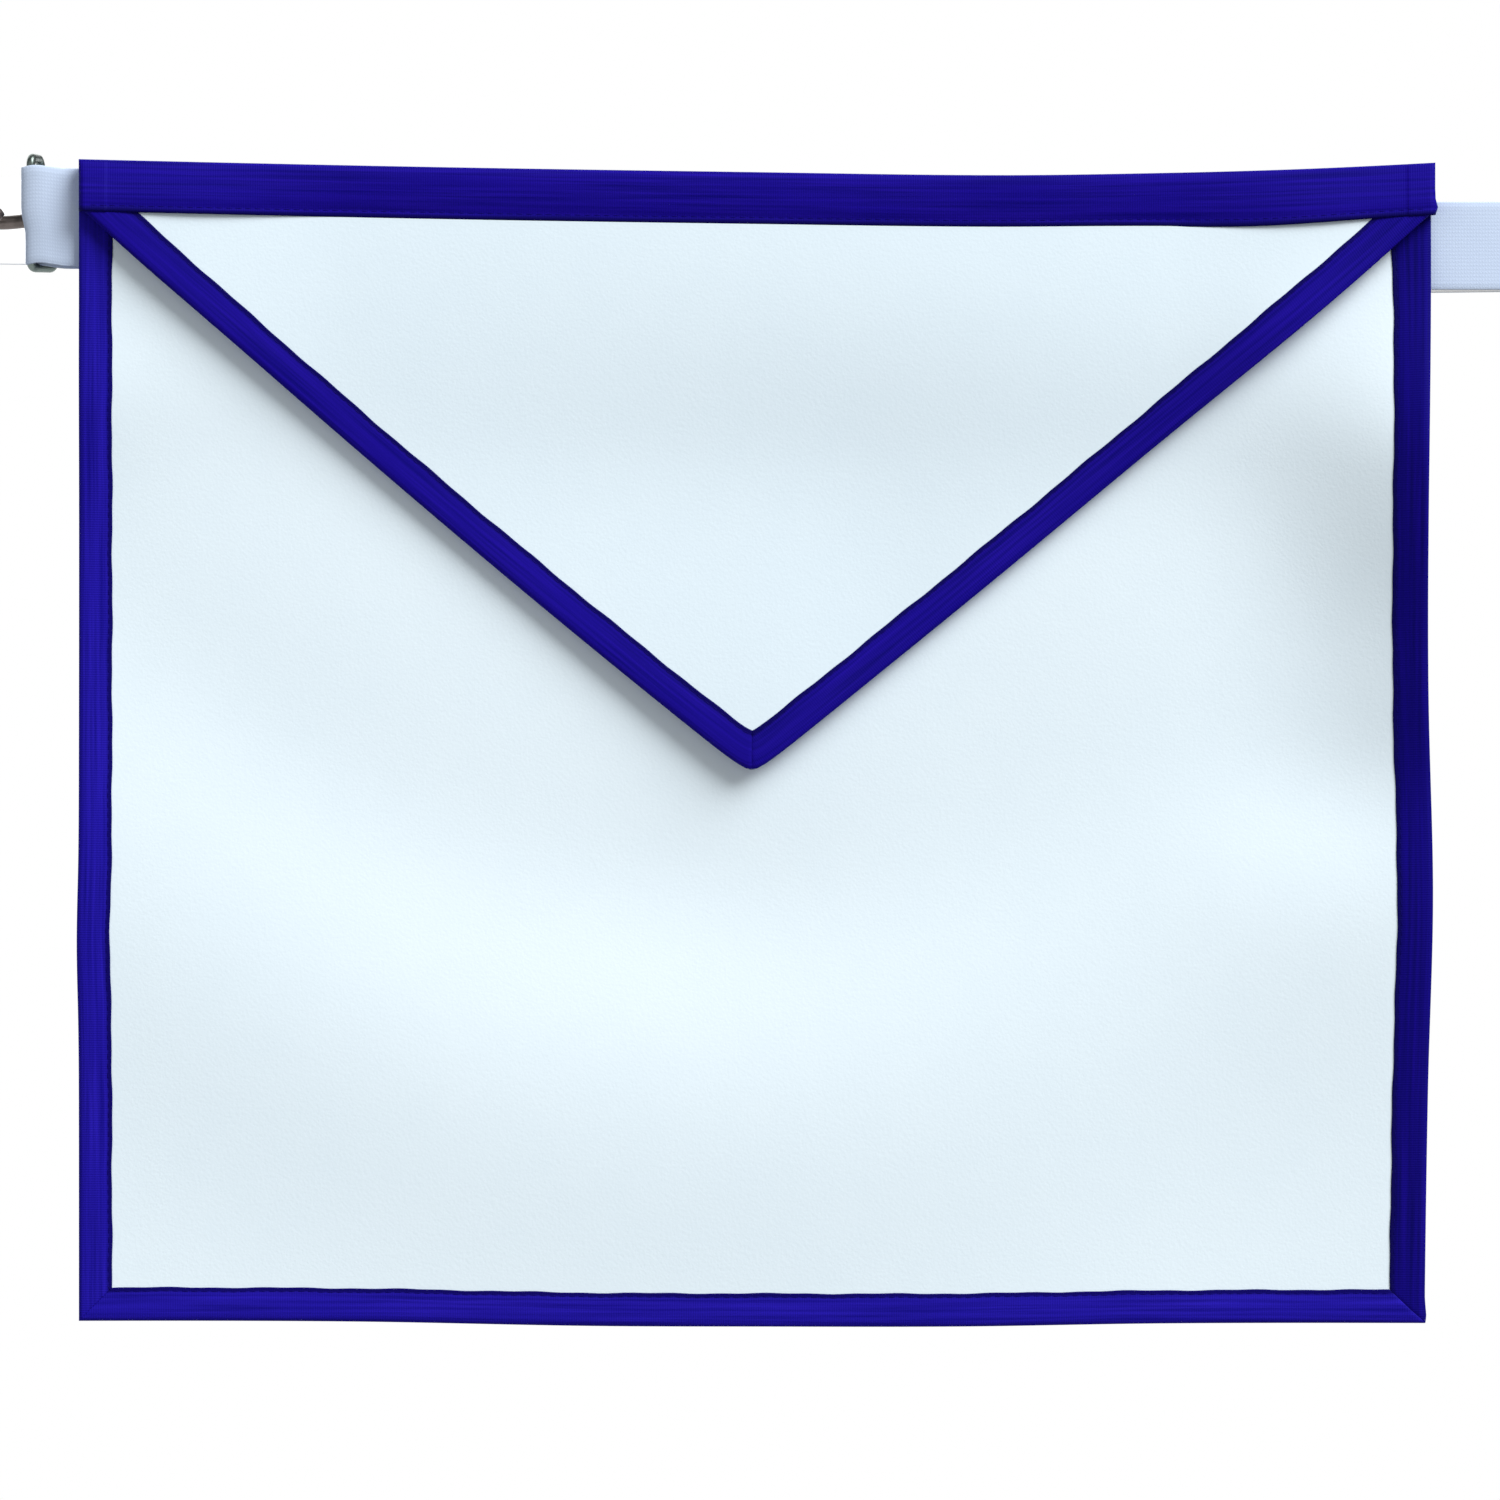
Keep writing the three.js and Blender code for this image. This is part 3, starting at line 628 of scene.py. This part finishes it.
flap_tuck_top = -band_height + flap_tuck
flap_slope = abs(flap_inward[0][0] / flap_inward[0][1])
flap_lowest = flap_tip[1] + flap_mitre[1] * edge_inset + flap_tip_blunt * flap_slope
tucked_heights = np.linspace(-edge_inset, flap_tuck_top, tucked_rows)[:-1]
free_heights = np.linspace(flap_tuck_top, flap_lowest, int(flap_drop / flap_step))
flap_heights = np.concatenate([tucked_heights, free_heights])[:, None]
flap_shares = np.linspace(0, 1, int(2 * half_width / panel_step))[None, :]
edge_heights = np.minimum(flap_heights, flap_tuck_top)
flap_left = flap_edge(0, edge_heights, edge_inset)
flap_x = flap_left + (flap_edge(1, edge_heights, edge_inset) - flap_left) * flap_shares
flap_z = np.broadcast_to(flap_heights, flap_x.shape)
flap_points = hang_flap(flap_x, np.zeros_like(flap_x), flap_z)
# Painted shade: the flap's leather is a slightly darker copy of the panel's white leather.
flap_leather = leather_finish(
    "flap_leather", colour(225, 239, 247), colour(217, 233, 243), 0.5, 1100.0, 0.00005
)
flap_spread = np.stack([flap_x, flap_z], -1)
flap = add_piece("flap_leather", flap_points, flap_spread, [flap_leather, flesh_side])
thicken(flap, leather, 0, back_material=1)
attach(flap, "root")
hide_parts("flap")

# The flap's binding
# The same ribbon down one slanting edge of the flap and up the other, folded on itself at the tip.
# Its ends go up under the waistband.

arm_ends = [np.array((flap_edge(arm, flap_tuck_top, 0), flap_tuck_top)) for arm in (0, 1)]
flap_arms = [
    ribbon_arm(start, end, inward, mitres, binding_profile, bound_half, bow)
    for start, end, inward, mitres, bow in (
        (arm_ends[0], flap_tip, flap_inward[0], (None, flap_mitre), flap_bows[0]),
        (flap_tip, arm_ends[1], flap_inward[1], (flap_mitre, None), flap_bows[1]),
    )
]


def hang_flap_binding(x, y, z):
    """The fold at the flap's tip is blunt, so both arms flatten where they meet. Near the waistband
    the arms' outer edges dip."""
    aside = x - flap_tip[0]
    above_tip = z - flap_tip[1]
    lift = flap_slope * (np.sqrt(aside**2 + tip_rounding**2) - np.abs(aside))
    lift = lift * (1 - inner_rounding * smooth(above_tip, *inner_rounding_reach))
    lift = lift * smooth(-z, *tip_rounding_ends)
    for arm, dip in enumerate(corner_dips):
        inwards = np.abs((x - flap_edge(arm, z, 0)) * flap_inward[arm][0]) / binding_width
        near_corner = np.exp(-(((x / half_width - dip["across"]) / dip["wide"]) ** 2))
        lift = lift - dip["depth"] * near_corner * (1 - smooth(inwards, *dip_reach))
    return hang_flap(x, y, z + lift)


flap_binding = join_arms("flap_binding_ribbon", flap_arms, hang_flap_binding, [blue_ribbon])
thicken(flap_binding, ribbon, -1)
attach(flap_binding, "root")
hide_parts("flap_binding")

# The waistband
# A wider ribbon folded over the top edges of the panel and the flap and sewn through both. Its ends
# are turned in, which shows as a line across it near each end, and closed.

band_bulge_length = 0.055
band_front = flap_middle - bound_half
end_clearance = 0.0007
band_front_at_ends = band_front - end_layers - end_clearance
band_top_front = -0.0047
band_back = -0.0001
turned_in = 0.008
turned_in_step = 0.0003
turned_in_run = 0.0006
turn_offsets = (-0.0008, -0.0004, 0.0, 0.0004)
turned_in_behind = 0.3
end_nub = 0.0008
end_nub_height = -0.0127
end_nub_reach = 0.0016
end_nub_width = 0.0025
band_seam_down = 0.88
seam_end_margin = 0.002
band_lower = 0.0006
band_dip = 0.0012
band_dip_across = 0.73
band_dip_reach = 0.15
band_step = 0.0025

band_profile = [
    {"down": 1.0, "in_front": 0.00075, "behind": 0.0005},
    {"down": 0.96, "in_front": 0.0006, "behind": 0.0004},
    {"down": 0.91, "in_front": 0.0006, "behind": 0.0004},
    {"down": band_seam_down, "in_front": 0.00078, "behind": 0.0005},
    {"down": 0.85, "in_front": 0.0006, "behind": 0.0004},
    {"down": 0.7, "in_front": 0.0003, "behind": 0.0002},
    {"down": 0.5, "in_front": 0.0001, "behind": 0.0},
    {"down": 0.3, "in_front": 0.0, "behind": 0.0},
    {"down": 0.14, "in_front": 0.0001, "behind": 0.0001},
    {"down": 0.05, "in_front": 0.0004, "behind": 0.0004},
    {"down": 0.012, "in_front": 0.001, "behind": 0.001},
    {"down": 0.0, "in_front": 0.0017, "behind": 0.0017},
]
band_end_stops = [
    {"from_end": 0.0, "depth": 0.0},
    {"from_end": 0.0002, "depth": 0.55},
    {"from_end": 0.0007, "depth": 0.88},
    {"from_end": 0.0015, "depth": 1.0},
]


def band_sections(x, depth):
    """The folded ribbon's outline at places along the band, from its front lower edge to the back."""
    bulged = flap_edge(1, flap_tuck_top, binding_width) - binding_width
    bulge = smooth(np.abs(x), bulged - band_bulge_length, bulged)
    down = np.array([row["down"] for row in band_profile])
    low_front = (band_front + (band_front_at_ends - band_front) * bulge)[:, None]
    front = band_top_front + (low_front - band_top_front) * smooth(down, 0.0, 1.0)[None, :]
    front = front + np.array([row["in_front"] for row in band_profile])
    back = band_back - np.array([row["behind"] for row in band_profile])[None, :] + np.zeros_like(front)
    turn = half_width - turned_in
    step = turned_in_step * smooth(np.abs(x), turn - turned_in_run, turn)[:, None]
    y = np.concatenate([front - step, (back + step * turned_in_behind)[:, ::-1]], 1)
    middle = (front[:, :1] + back[:, :1]) / 2
    y = middle + (y - middle) * depth[:, None]
    z = np.broadcast_to(-band_height * np.concatenate([down, down[::-1]]), y.shape)
    return y, z


end_offsets = np.array([row["from_end"] for row in band_end_stops])
end_depths = np.array([row["depth"] for row in band_end_stops])
turn_stops = half_width - turned_in + np.array(turn_offsets)
plain_stops = np.linspace(0, half_width - seam_end_margin, int(half_width / band_step))[1:]
band_right = np.unique(np.concatenate([plain_stops, turn_stops, half_width - end_offsets]))
band_x = np.concatenate([-band_right[::-1], [0.0], band_right])[::-1]
band_depth = np.interp(half_width - np.abs(band_x), end_offsets, end_depths)
band_y, band_z = band_sections(band_x, band_depth)
band_flat_x = np.broadcast_to(band_x[:, None], band_y.shape)
section = 9  # one well inside the ends, whose length round stands for all
section_steps = np.hypot(np.diff(band_y[section]), np.diff(band_z[section]))
band_around = from_either_edge(np.concatenate([[0], np.cumsum(section_steps)]))
band_spread = np.stack([band_flat_x, np.broadcast_to(band_around, band_y.shape)], -1)


def hang_band(x, y, z):
    """The ribbon's lower edge dips, and its turned-in end sticks out a little at the lower right."""
    near_nub = np.exp(-(((z - end_nub_height) / end_nub_reach) ** 2))
    nub = end_nub * smooth(x, half_width - end_nub_width, half_width) * near_nub
    near_dip = np.exp(-(((x / half_width - band_dip_across) / band_dip_reach) ** 2))
    dip = band_lower + band_dip * near_dip
    return hang(x + nub, y, z - dip * (z / band_height) ** 2)


band_run = (band_flat_x, band_y, band_z, band_spread)
waistband = join_arms("waistband_ribbon", [band_run], hang_band, [blue_ribbon])
thicken(waistband, ribbon, -1)
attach(waistband, "root")
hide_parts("waistband")

# The belt's webbing
# Pale woven webbing: a short doubled tab sewn behind the left end, and a strap that is sewn behind
# the right end, goes round the waist and ends in a fold round a link of its own.

webbing = 0.0015
shown_webbing = 0.0013
layer = webbing + seam_gap
link_wire = 0.0012
hook_wire = 0.00155
link_span = 0.01
link_turn = math.radians(28)
fold_radius = link_wire + seam_gap + webbing / 2
eye_radius = link_wire + seam_gap + hook_wire
first_layer = seam_gap + webbing / 2
tab_reach = 0.0146
tab_width = 0.0294
tab_height = -0.006
fold_lift = 0.0012
fold_ease = 0.005
fold_lean = 0.0013
rear_drop = 0.0007
strap_width = 0.0264
strap_height = -0.0145
sewn_length = 0.028
folded_back = 0.016
easing = 0.012
belt_straight = 0.063
belt_corner = 0.04
belt_depth = 0.19
back_rise = 0.0025
back_rise_reach = (0.02, 0.14)
hook_reach = 0.0206
cord_pitch = 0.0011
pick_pitch = 0.0009
webbing_columns = 13
fold_points = 17
bend_points = 20
round_points = 100
edge_rounding = 0.0003
bend_rise_from = 0.003
lean_from = 0.004
lean_down = (-0.002, 0.006)

tab_bar = np.array((-half_width - tab_reach, first_layer + fold_radius))
eye_bar = tab_bar + link_span * np.array((math.sin(link_turn), math.cos(link_turn)))
keeper_bar = np.array((eye_bar[0] - hook_reach, eye_bar[1] - 2 * eye_radius))
strap_bar = keeper_bar - (link_span, 0)


def line(start, end, step=0.004):
    count = max(2, int(math.dist(start, end) / step))
    return [tuple(np.array(start) + (np.array(end) - start) * t) for t in np.linspace(0, 1, count)]


def arc(centre, radii, first, last, count):
    turns = np.radians(np.linspace(first, last, count))
    return [(centre[0] + radii[0] * math.cos(t), centre[1] + radii[1] * math.sin(t)) for t in turns]


def ease(start, end, count=8):
    run, rise = end[0] - start[0], end[1] - start[1]
    shares = np.linspace(0, 1, count)
    return [(start[0] + run * t, start[1] + rise * t * t * (3 - 2 * t)) for t in shares]


def webbing_strip(name, route, width, heights, materials, lean=0.0):
    """Webbing on edge along a route seen from above. heights gives its middle at each point, and
    lean is how far the lower half of a fold at the left stands back."""
    route = np.array(route)
    keep = np.concatenate([[True], np.hypot(*np.diff(route, axis=0).T) > 1e-6])
    route, heights = route[keep], np.asarray(heights)[keep]
    lengths = np.concatenate([[0], np.cumsum(np.hypot(*np.diff(route, axis=0).T))])
    across = np.linspace(-0.5, 0.5, webbing_columns) * width
    points = np.zeros((len(across), len(route), 3))
    points[..., 0], points[..., 1] = route[:, 0], route[:, 1]
    points[..., 2] = heights[None, :] - across[:, None]
    at_fold = smooth(-points[..., 0], half_width + lean_from, half_width + tab_reach)
    points[..., 0] += lean * at_fold * smooth(across, *lean_down)[:, None]
    spread = np.stack(np.broadcast_arrays(lengths[None, :], across[:, None]), -1)
    strip = add_piece(name, points, spread, materials)
    thicken(strip, shown_webbing, 0, back_material=len(materials) - 1)
    rounding = strip.modifiers.new("soft_edges", "BEVEL")
    rounding.width = edge_rounding
    rounding.segments = 2
    rounding.limit_method = "ANGLE"
    rounding.angle_limit = math.radians(50)
    return strip


def webbing_finish(name, tone, shade):
    """Woven webbing: cords along it, fine picks across it, fuzz and a little wear."""
    finish = Finish(name, {"Specular IOR Level": 0.25, "Sheen Weight": 0.1, "Sheen Roughness": 0.5})
    flat = finish.node("ShaderNodeUVMap", {"uv_map": "flat"}, {})
    along = finish.node("ShaderNodeSeparateXYZ", {}, {"Vector": flat}, "X")
    across = finish.node("ShaderNodeSeparateXYZ", {}, {"Vector": flat}, "Y")
    cords = (across * (2 * math.pi / cord_pitch)).sine()
    picks = (along * (2 * math.pi / pick_pitch)).sine()
    weave = cords * 0.2 + picks * 0.15 + cords * picks * 0.2 + 0.5
    fuzz = finish.noise(finish.stretch(flat, (500.0, 2500.0, 1.0)), 1.0, 3.0)
    wear = finish.noise(finish.stretch(flat, (60.0, 60.0, 1.0)), 1.0, 3.0)
    finish.use({"Base Color": finish.blend(weave * 0.5 + wear * 0.5, shade, tone)})
    finish.use({"Roughness": 0.7 + 0.2 * (fuzz - 0.5)})
    finish.relief(weave * 0.7 + fuzz * 0.3, 0.00005)
    return finish.material


pale_webbing = webbing_finish("pale_webbing", colour(206, 222, 246), colour(195, 211, 236))
white_webbing = webbing_finish("white_webbing_reverse", colour(250, 251, 252), colour(244, 246, 248))
sewn_end = half_width - sewn_length
tab_rear = first_layer + layer
tab_route = line((-sewn_end, first_layer), (tab_bar[0] + fold_ease, first_layer))
eased_centre = (tab_bar[0] + fold_ease, tab_bar[1])
tab_route += arc(eased_centre, (fold_radius + fold_ease, fold_radius), 270, 180, 12)
tab_route += arc(tab_bar, (fold_radius, fold_radius), 180, 90, 9)
tab_route += ease((tab_bar[0], tab_bar[1] + fold_radius), (tab_bar[0] + easing, tab_rear))
tab_route += line((tab_bar[0] + easing, tab_rear), (-sewn_end, tab_rear))
tab_x, tab_y = np.array(tab_route).T
near_fold = smooth(-tab_x, half_width + bend_rise_from, half_width + tab_reach)
tab_heights = tab_height + fold_lift * near_fold
tab_heights = tab_heights - rear_drop * smooth(tab_y, first_layer, tab_rear)
tab = webbing_strip("belt_tab_webbing", tab_route, tab_width, tab_heights, [pale_webbing], fold_lean)
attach(tab, "root")
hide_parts("belt_tab")

bend_x = half_width + belt_straight
far_x = bend_x + belt_corner
strap_front = strap_bar[1] - fold_radius
strap_doubled = strap_front + layer
right_y = first_layer + belt_corner
left_y = strap_front + belt_corner
round_back = belt_depth - belt_corner
strap_route = line((sewn_end, first_layer), (bend_x, first_layer))
strap_route += arc((bend_x, right_y), (belt_corner, belt_corner), -90, 0, bend_points)
strap_route += arc((0, right_y), (far_x, round_back), 0, 90, round_points)
strap_route += arc((0, left_y), (far_x, round_back + right_y - left_y), 90, 180, round_points)
strap_route += arc((-bend_x, left_y), (belt_corner, belt_corner), 180, 270, bend_points)
strap_route += line((-bend_x, strap_front), (strap_bar[0], strap_front))
strap_route += arc(strap_bar, (fold_radius, fold_radius), -90, 90, fold_points)
strap_route += ease((strap_bar[0], strap_bar[1] + fold_radius), (strap_bar[0] - easing, strap_doubled))
eased_end = (strap_bar[0] - easing, strap_doubled)
strap_route += line(eased_end, (strap_bar[0] - folded_back, strap_doubled), 0.001)
climb = smooth(-np.array(strap_route)[:, 0], -sewn_end, sewn_end)
strap_heights = strap_height + (tab_height - strap_height) * climb
strap_heights = strap_heights + back_rise * smooth(np.array(strap_route)[:, 1], *back_rise_reach)
strap = webbing_strip(
    "belt_strap_webbing", strap_route, strap_width, strap_heights, [pale_webbing, white_webbing]
)
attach(strap, "root")
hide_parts("belt_strap")

# The clasp
# Two plain links of plated steel wire, one in each fold of webbing, and a hook bent from thicker
# wire. Its eye is closed round the near link and its open end holds the far one.

link_corner = 0.002
hook_dip = 0.0013
shown_hook_wire = 0.0021
shown_link_wire = 0.00135
hook_tip = 0.008
hook_tip_rise = 0.0023
hook_dip_place = 0.55
hook_eye_start = 170
hook_rounding = (0.05, 0.45, 0.75, 0.92)
hook_step = 0.0005
tab_link_slack = 0.0006
tab_link_twist = math.radians(30)
tab_link_height = -0.00455


def metal_finish(name, tone, shade, roughness):
    """Plated wire that has dulled, with faint drawing lines and tiny pits."""
    finish = Finish(name, {"Metallic": 1.0})
    place = finish.node("ShaderNodeTexCoord", {}, {}, "Object")
    tarnish = finish.noise(place, 320.0, 5.0)
    pits = finish.noise(place, 2400.0, 2.0)
    finish.use({"Base Color": finish.blend(tarnish, shade, tone)})
    finish.use({"Roughness": roughness + 0.3 * (tarnish - 0.5)})
    finish.relief(pits, 0.00003)
    return finish.material


link_metal = metal_finish("plated_link", colour(122, 132, 128), colour(76, 88, 84), 0.36)
hook_metal = metal_finish("dark_hook", colour(120, 112, 108), colour(66, 60, 58), 0.38)


def wire_piece(name, route, radii, closed, up, material, sides=20):
    """Round wire along a route, with a radius at each point."""
    route = np.array(route)
    ahead, behind = np.roll(route, -1, 0), np.roll(route, 1, 0)
    if not closed:
        ahead[-1], behind[0] = route[-1], route[0]
    forward = ahead - behind
    forward /= np.linalg.norm(forward, axis=1)[:, None]
    side = np.cross(up, forward)
    side /= np.linalg.norm(side, axis=1)[:, None]
    top = np.cross(forward, side)
    turns = np.linspace(0, 2 * math.pi, sides, endpoint=False)
    ring = np.cos(turns)[None, :, None] * side[:, None, :]
    ring = ring + np.sin(turns)[None, :, None] * top[:, None, :]
    points = route[:, None, :] + ring * np.asarray(radii)[:, None, None]
    wire = bmesh.new()
    rings = [[wire.verts.new(point) for point in row] for row in points]
    for i in range(len(rings) if closed else len(rings) - 1):
        here, there = rings[i], rings[(i + 1) % len(rings)]
        for j in range(sides):
            k = (j + 1) % sides
            wire.faces.new((here[j], here[k], there[k], there[j]))
    if not closed:
        wire.faces.new(rings[0][::-1])
        wire.faces.new(rings[-1])
    bmesh.ops.recalc_face_normals(wire, faces=wire.faces)
    mesh = bpy.data.meshes.new(name)
    wire.to_mesh(mesh)
    wire.free()
    mesh.materials.append(material)
    mesh.shade_smooth()
    piece = bpy.data.objects.new(name, mesh)
    bpy.context.scene.collection.objects.link(piece)
    return piece


def link_piece(name, bar, other_bar, width, twist, middle):
    """A rectangular link with rounded corners round two upright bars. twist is how far its top is
    turned from its bottom."""
    out = (other_bar - bar) / np.linalg.norm(other_bar - bar)
    height = width + 2 * (link_wire + seam_gap)
    route = []
    for corner, (far, up) in enumerate(((0, -1), (1, -1), (1, 1), (0, 1))):
        for step in np.linspace(0, 1, 7):
            turn = (corner - 2 + step) * math.pi / 2
            centre = link_span - link_corner if far else link_corner
            reach = centre + link_corner * math.cos(turn)
            rise = up * (height / 2 - link_corner) + link_corner * math.sin(turn)
            swing = twist * rise / height
            x = bar[0] + (out[0] * math.cos(swing) - out[1] * math.sin(swing)) * reach
            y = bar[1] + (out[0] * math.sin(swing) + out[1] * math.cos(swing)) * reach
            route.append((x, y, middle + rise))
    radii = [shown_link_wire] * len(route)
    return wire_piece(name, route, radii, True, (out[1], -out[0], 0), link_metal)


tab_link = link_piece(
    "tab_link_wire", tab_bar, eye_bar, tab_width + tab_link_slack, tab_link_twist, tab_link_height
)
keeper_link = link_piece("keeper_link_wire", keeper_bar, strap_bar, strap_width, 0.0, tab_height)


def spline(points, step):
    """Evenly spaced points on a smooth curve through the given ones."""
    points = np.array(points)
    padded = np.concatenate([[2 * points[0] - points[1]], points, [2 * points[-1] - points[-2]]])
    fine = []
    for before, here, there, after in zip(padded, padded[1:], padded[2:], padded[3:]):
        for t in np.linspace(0, 1, 12, endpoint=False):
            pull = (there - before) * t + (2 * before - 5 * here + 4 * there - after) * t**2
            fine.append(here + 0.5 * (pull + (3 * here - before - 3 * there + after) * t**3))
    fine = np.array(fine + [points[-1]])
    lengths = np.concatenate([[0], np.cumsum(np.linalg.norm(np.diff(fine, axis=0), axis=1))])
    at = np.linspace(0, lengths[-1], int(lengths[-1] / step))
    return np.stack([np.interp(at, lengths, fine[:, axis]) for axis in range(3)], -1)


hook_points = []
for turn in np.linspace(hook_eye_start, -90, 11):
    angle = math.radians(turn)
    away = eye_radius * np.array((math.cos(angle), math.sin(angle)))
    hook_points.append((*(eye_bar + away), tab_height))
dip_x = eye_bar[0] + (keeper_bar[0] - eye_bar[0]) * hook_dip_place
hook_points.append((dip_x, eye_bar[1] - eye_radius, tab_height - hook_dip))
for share in np.linspace(0, 1, 7):
    angle = math.radians(90 + 180 * share)
    away = eye_radius * np.array((math.cos(angle), math.sin(angle)))
    hook_points.append((*(keeper_bar + away), tab_height - hook_dip + share * hook_tip_rise))
tip_height = tab_height - hook_dip + hook_tip_rise
hook_points.append((keeper_bar[0] + hook_tip, keeper_bar[1] - eye_radius, tip_height))
hook_route = spline(hook_points, hook_step)
hook_radii = np.full(len(hook_route), shown_hook_wire)
for ring, share in enumerate(hook_rounding):
    hook_radii[ring] = hook_radii[-1 - ring] = shown_hook_wire * share
belt_hook = wire_piece("belt_hook_wire", hook_route, hook_radii, False, (0, 0, 1), hook_metal)
for piece, node, metal_slot in (
    (tab_link, "tab_link", "link"),
    (keeper_link, "keeper_link", "link"),
    (belt_hook, "belt_hook", "hook"),
):
    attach(piece, "root")
    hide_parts(node)

# The stitches
# Lock stitch in matching thread: blue through the ribbons' inner edges, front and back, and white in
# a box on the tab and the strap where they are sewn to the apron's back.

stitch_pitch = 0.0029
stitch_length = 0.0022
thread = 0.0003
thread_proud = 0.1
seam_ends = 3  # stations without stitches at each end of an arm
box_inset = 0.0022
box_margin = 0.002


def stitch_maker():
    """Geometry nodes that lay stitches end to end along a seam."""
    tree = bpy.data.node_groups.new("lay_stitches", "GeometryNodeTree")
    tree.interface.new_socket("Seam", in_out="INPUT", socket_type="NodeSocketGeometry")
    for name in ("Pitch", "Length", "Thread"):
        tree.interface.new_socket(name, in_out="INPUT", socket_type="NodeSocketFloat")
    tree.interface.new_socket("Material", in_out="INPUT", socket_type="NodeSocketMaterial")
    tree.interface.new_socket("Stitches", in_out="OUTPUT", socket_type="NodeSocketGeometry")
    add = tree.nodes.new
    link = tree.links.new
    given, made = add("NodeGroupInput"), add("NodeGroupOutput")
    seam, spaced = add("GeometryNodeMeshToCurve"), add("GeometryNodeResampleCurve")
    spaced.mode = "LENGTH"
    stitch = add("GeometryNodeMeshUVSphere")
    stitch.inputs["Segments"].default_value = 8
    stitch.inputs["Rings"].default_value = 5
    stitch.inputs["Radius"].default_value = 0.5
    size, tangent = add("ShaderNodeCombineXYZ"), add("GeometryNodeInputTangent")
    turned = add("FunctionNodeAlignRotationToVector")
    turned.axis = "X"
    placed, real = add("GeometryNodeInstanceOnPoints"), add("GeometryNodeRealizeInstances")
    shaded, coloured = add("GeometryNodeSetShadeSmooth"), add("GeometryNodeSetMaterial")
    link(given.outputs["Seam"], seam.inputs[0])
    link(seam.outputs[0], spaced.inputs["Curve"])
    link(given.outputs["Pitch"], spaced.inputs["Length"])
    link(given.outputs["Length"], size.inputs["X"])
    link(given.outputs["Thread"], size.inputs["Y"])
    link(given.outputs["Thread"], size.inputs["Z"])
    link(tangent.outputs[0], turned.inputs["Vector"])
    link(spaced.outputs[0], placed.inputs["Points"])
    link(stitch.outputs["Mesh"], placed.inputs["Instance"])
    link(turned.outputs[0], placed.inputs["Rotation"])
    link(size.outputs[0], placed.inputs["Scale"])
    link(placed.outputs[0], real.inputs[0])
    link(real.outputs[0], shaded.inputs[0])
    link(shaded.outputs[0], coloured.inputs["Geometry"])
    link(given.outputs["Material"], coloured.inputs["Material"])
    link(coloured.outputs[0], made.inputs[0])
    return tree


lay_stitches = stitch_maker()


def sew(name, seams, material):
    """Stitches along seams, each a run of points, as one plain mesh."""
    points, edges = [], []
    for seam in seams:
        first = len(points)
        points += [tuple(point) for point in seam]
        edges += [(i, i + 1) for i in range(first, len(points) - 1)]
    path_mesh = bpy.data.meshes.new(name)
    path_mesh.from_pydata(points, edges, [])
    path = bpy.data.objects.new(name + "_path", path_mesh)
    bpy.context.scene.collection.objects.link(path)
    maker = path.modifiers.new("stitches", "NODES")
    maker.node_group = lay_stitches
    sizes = {"Pitch": stitch_pitch, "Length": stitch_length, "Thread": thread, "Material": material}
    for item in lay_stitches.interface.items_tree:
        if item.name in sizes:
            maker[item.identifier] = sizes[item.name]
    evaluated = path.evaluated_get(bpy.context.evaluated_depsgraph_get())
    stitches = bpy.data.objects.new(name, bpy.data.meshes.new_from_object(evaluated))
    bpy.data.objects.remove(path)
    bpy.context.scene.collection.objects.link(stitches)
    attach(stitches, "root")
    return stitches


def thread_finish(name, tone, shade):
    """Twisted sewing thread."""
    finish = Finish(name, {"Specular IOR Level": 0.06})
    place = finish.node("ShaderNodeTexCoord", {}, {}, "Object")
    twist = finish.noise(place, 2600.0, 2.0)
    finish.use({"Base Color": finish.blend(twist, shade, tone)})
    finish.use({"Roughness": 0.55 + 0.2 * (twist - 0.5)})
    finish.relief(twist, 0.00006)
    return finish.material


blue_thread = thread_finish("blue_thread", colour(12, 0, 112), colour(5, 0, 80))
white_thread = thread_finish("white_thread", colour(240, 243, 246), colour(214, 221, 228))


def ribbon_seams(arms, place):
    """The seams through a ribbon's two legs, along all of its arms."""
    row = next(i for i, r in enumerate(binding_profile) if r["inwards"] == seam_inwards)
    seams = []
    for leg in (row, 2 * len(binding_profile) - 1 - row):
        seam = []
        for x, y, z, _ in arms:
            seam += list(place(x[:, leg], y[:, leg], z[:, leg]))[seam_ends:-seam_ends]
        seams.append(seam)
    return seams


edge_seams = ribbon_seams(edge_arms, hang_binding)
flap_seams = ribbon_seams(flap_arms, hang_flap_binding)
edge_stitches = sew("edge_binding_stitches", edge_seams, blue_thread)
flap_stitches = sew("flap_binding_stitches", flap_seams, blue_thread)

band_row = next(i for i, r in enumerate(band_profile) if r["down"] == band_seam_down)
band_seams = []
for leg in (band_row, 2 * len(band_profile) - 1 - band_row):
    inner = np.abs(band_x) < half_width - seam_end_margin
    band_seams.append(list(hang_band(band_x[inner], band_y[inner, leg], band_z[inner, leg])))
band_stitches = sew("waistband_stitches", band_seams, blue_thread)


def sewn_box(low_x, high_x, y, middle, width):
    """A box of stitches with a cross in it."""
    left, right = low_x + box_inset, high_x - box_inset
    low, high = middle - width / 2 + box_inset, middle + width / 2 - box_inset
    loops = [[(left, low), (right, low), (right, high), (left, high), (left, low)]]
    loops += [[(left, low), (right, high)], [(left, high), (right, low)]]
    return [[(x, y, z) for x, z in loop] for loop in loops]


webbing_top = shown_webbing / 2 + thread * thread_proud
box_end = half_width - box_margin
tab_box = sewn_box(-box_end, -sewn_end, tab_rear + webbing_top, tab_height, tab_width)
strap_box = sewn_box(sewn_end, box_end, first_layer + webbing_top, strap_height, strap_width)
belt_stitches = sew("belt_stitches", tab_box + strap_box, white_thread)
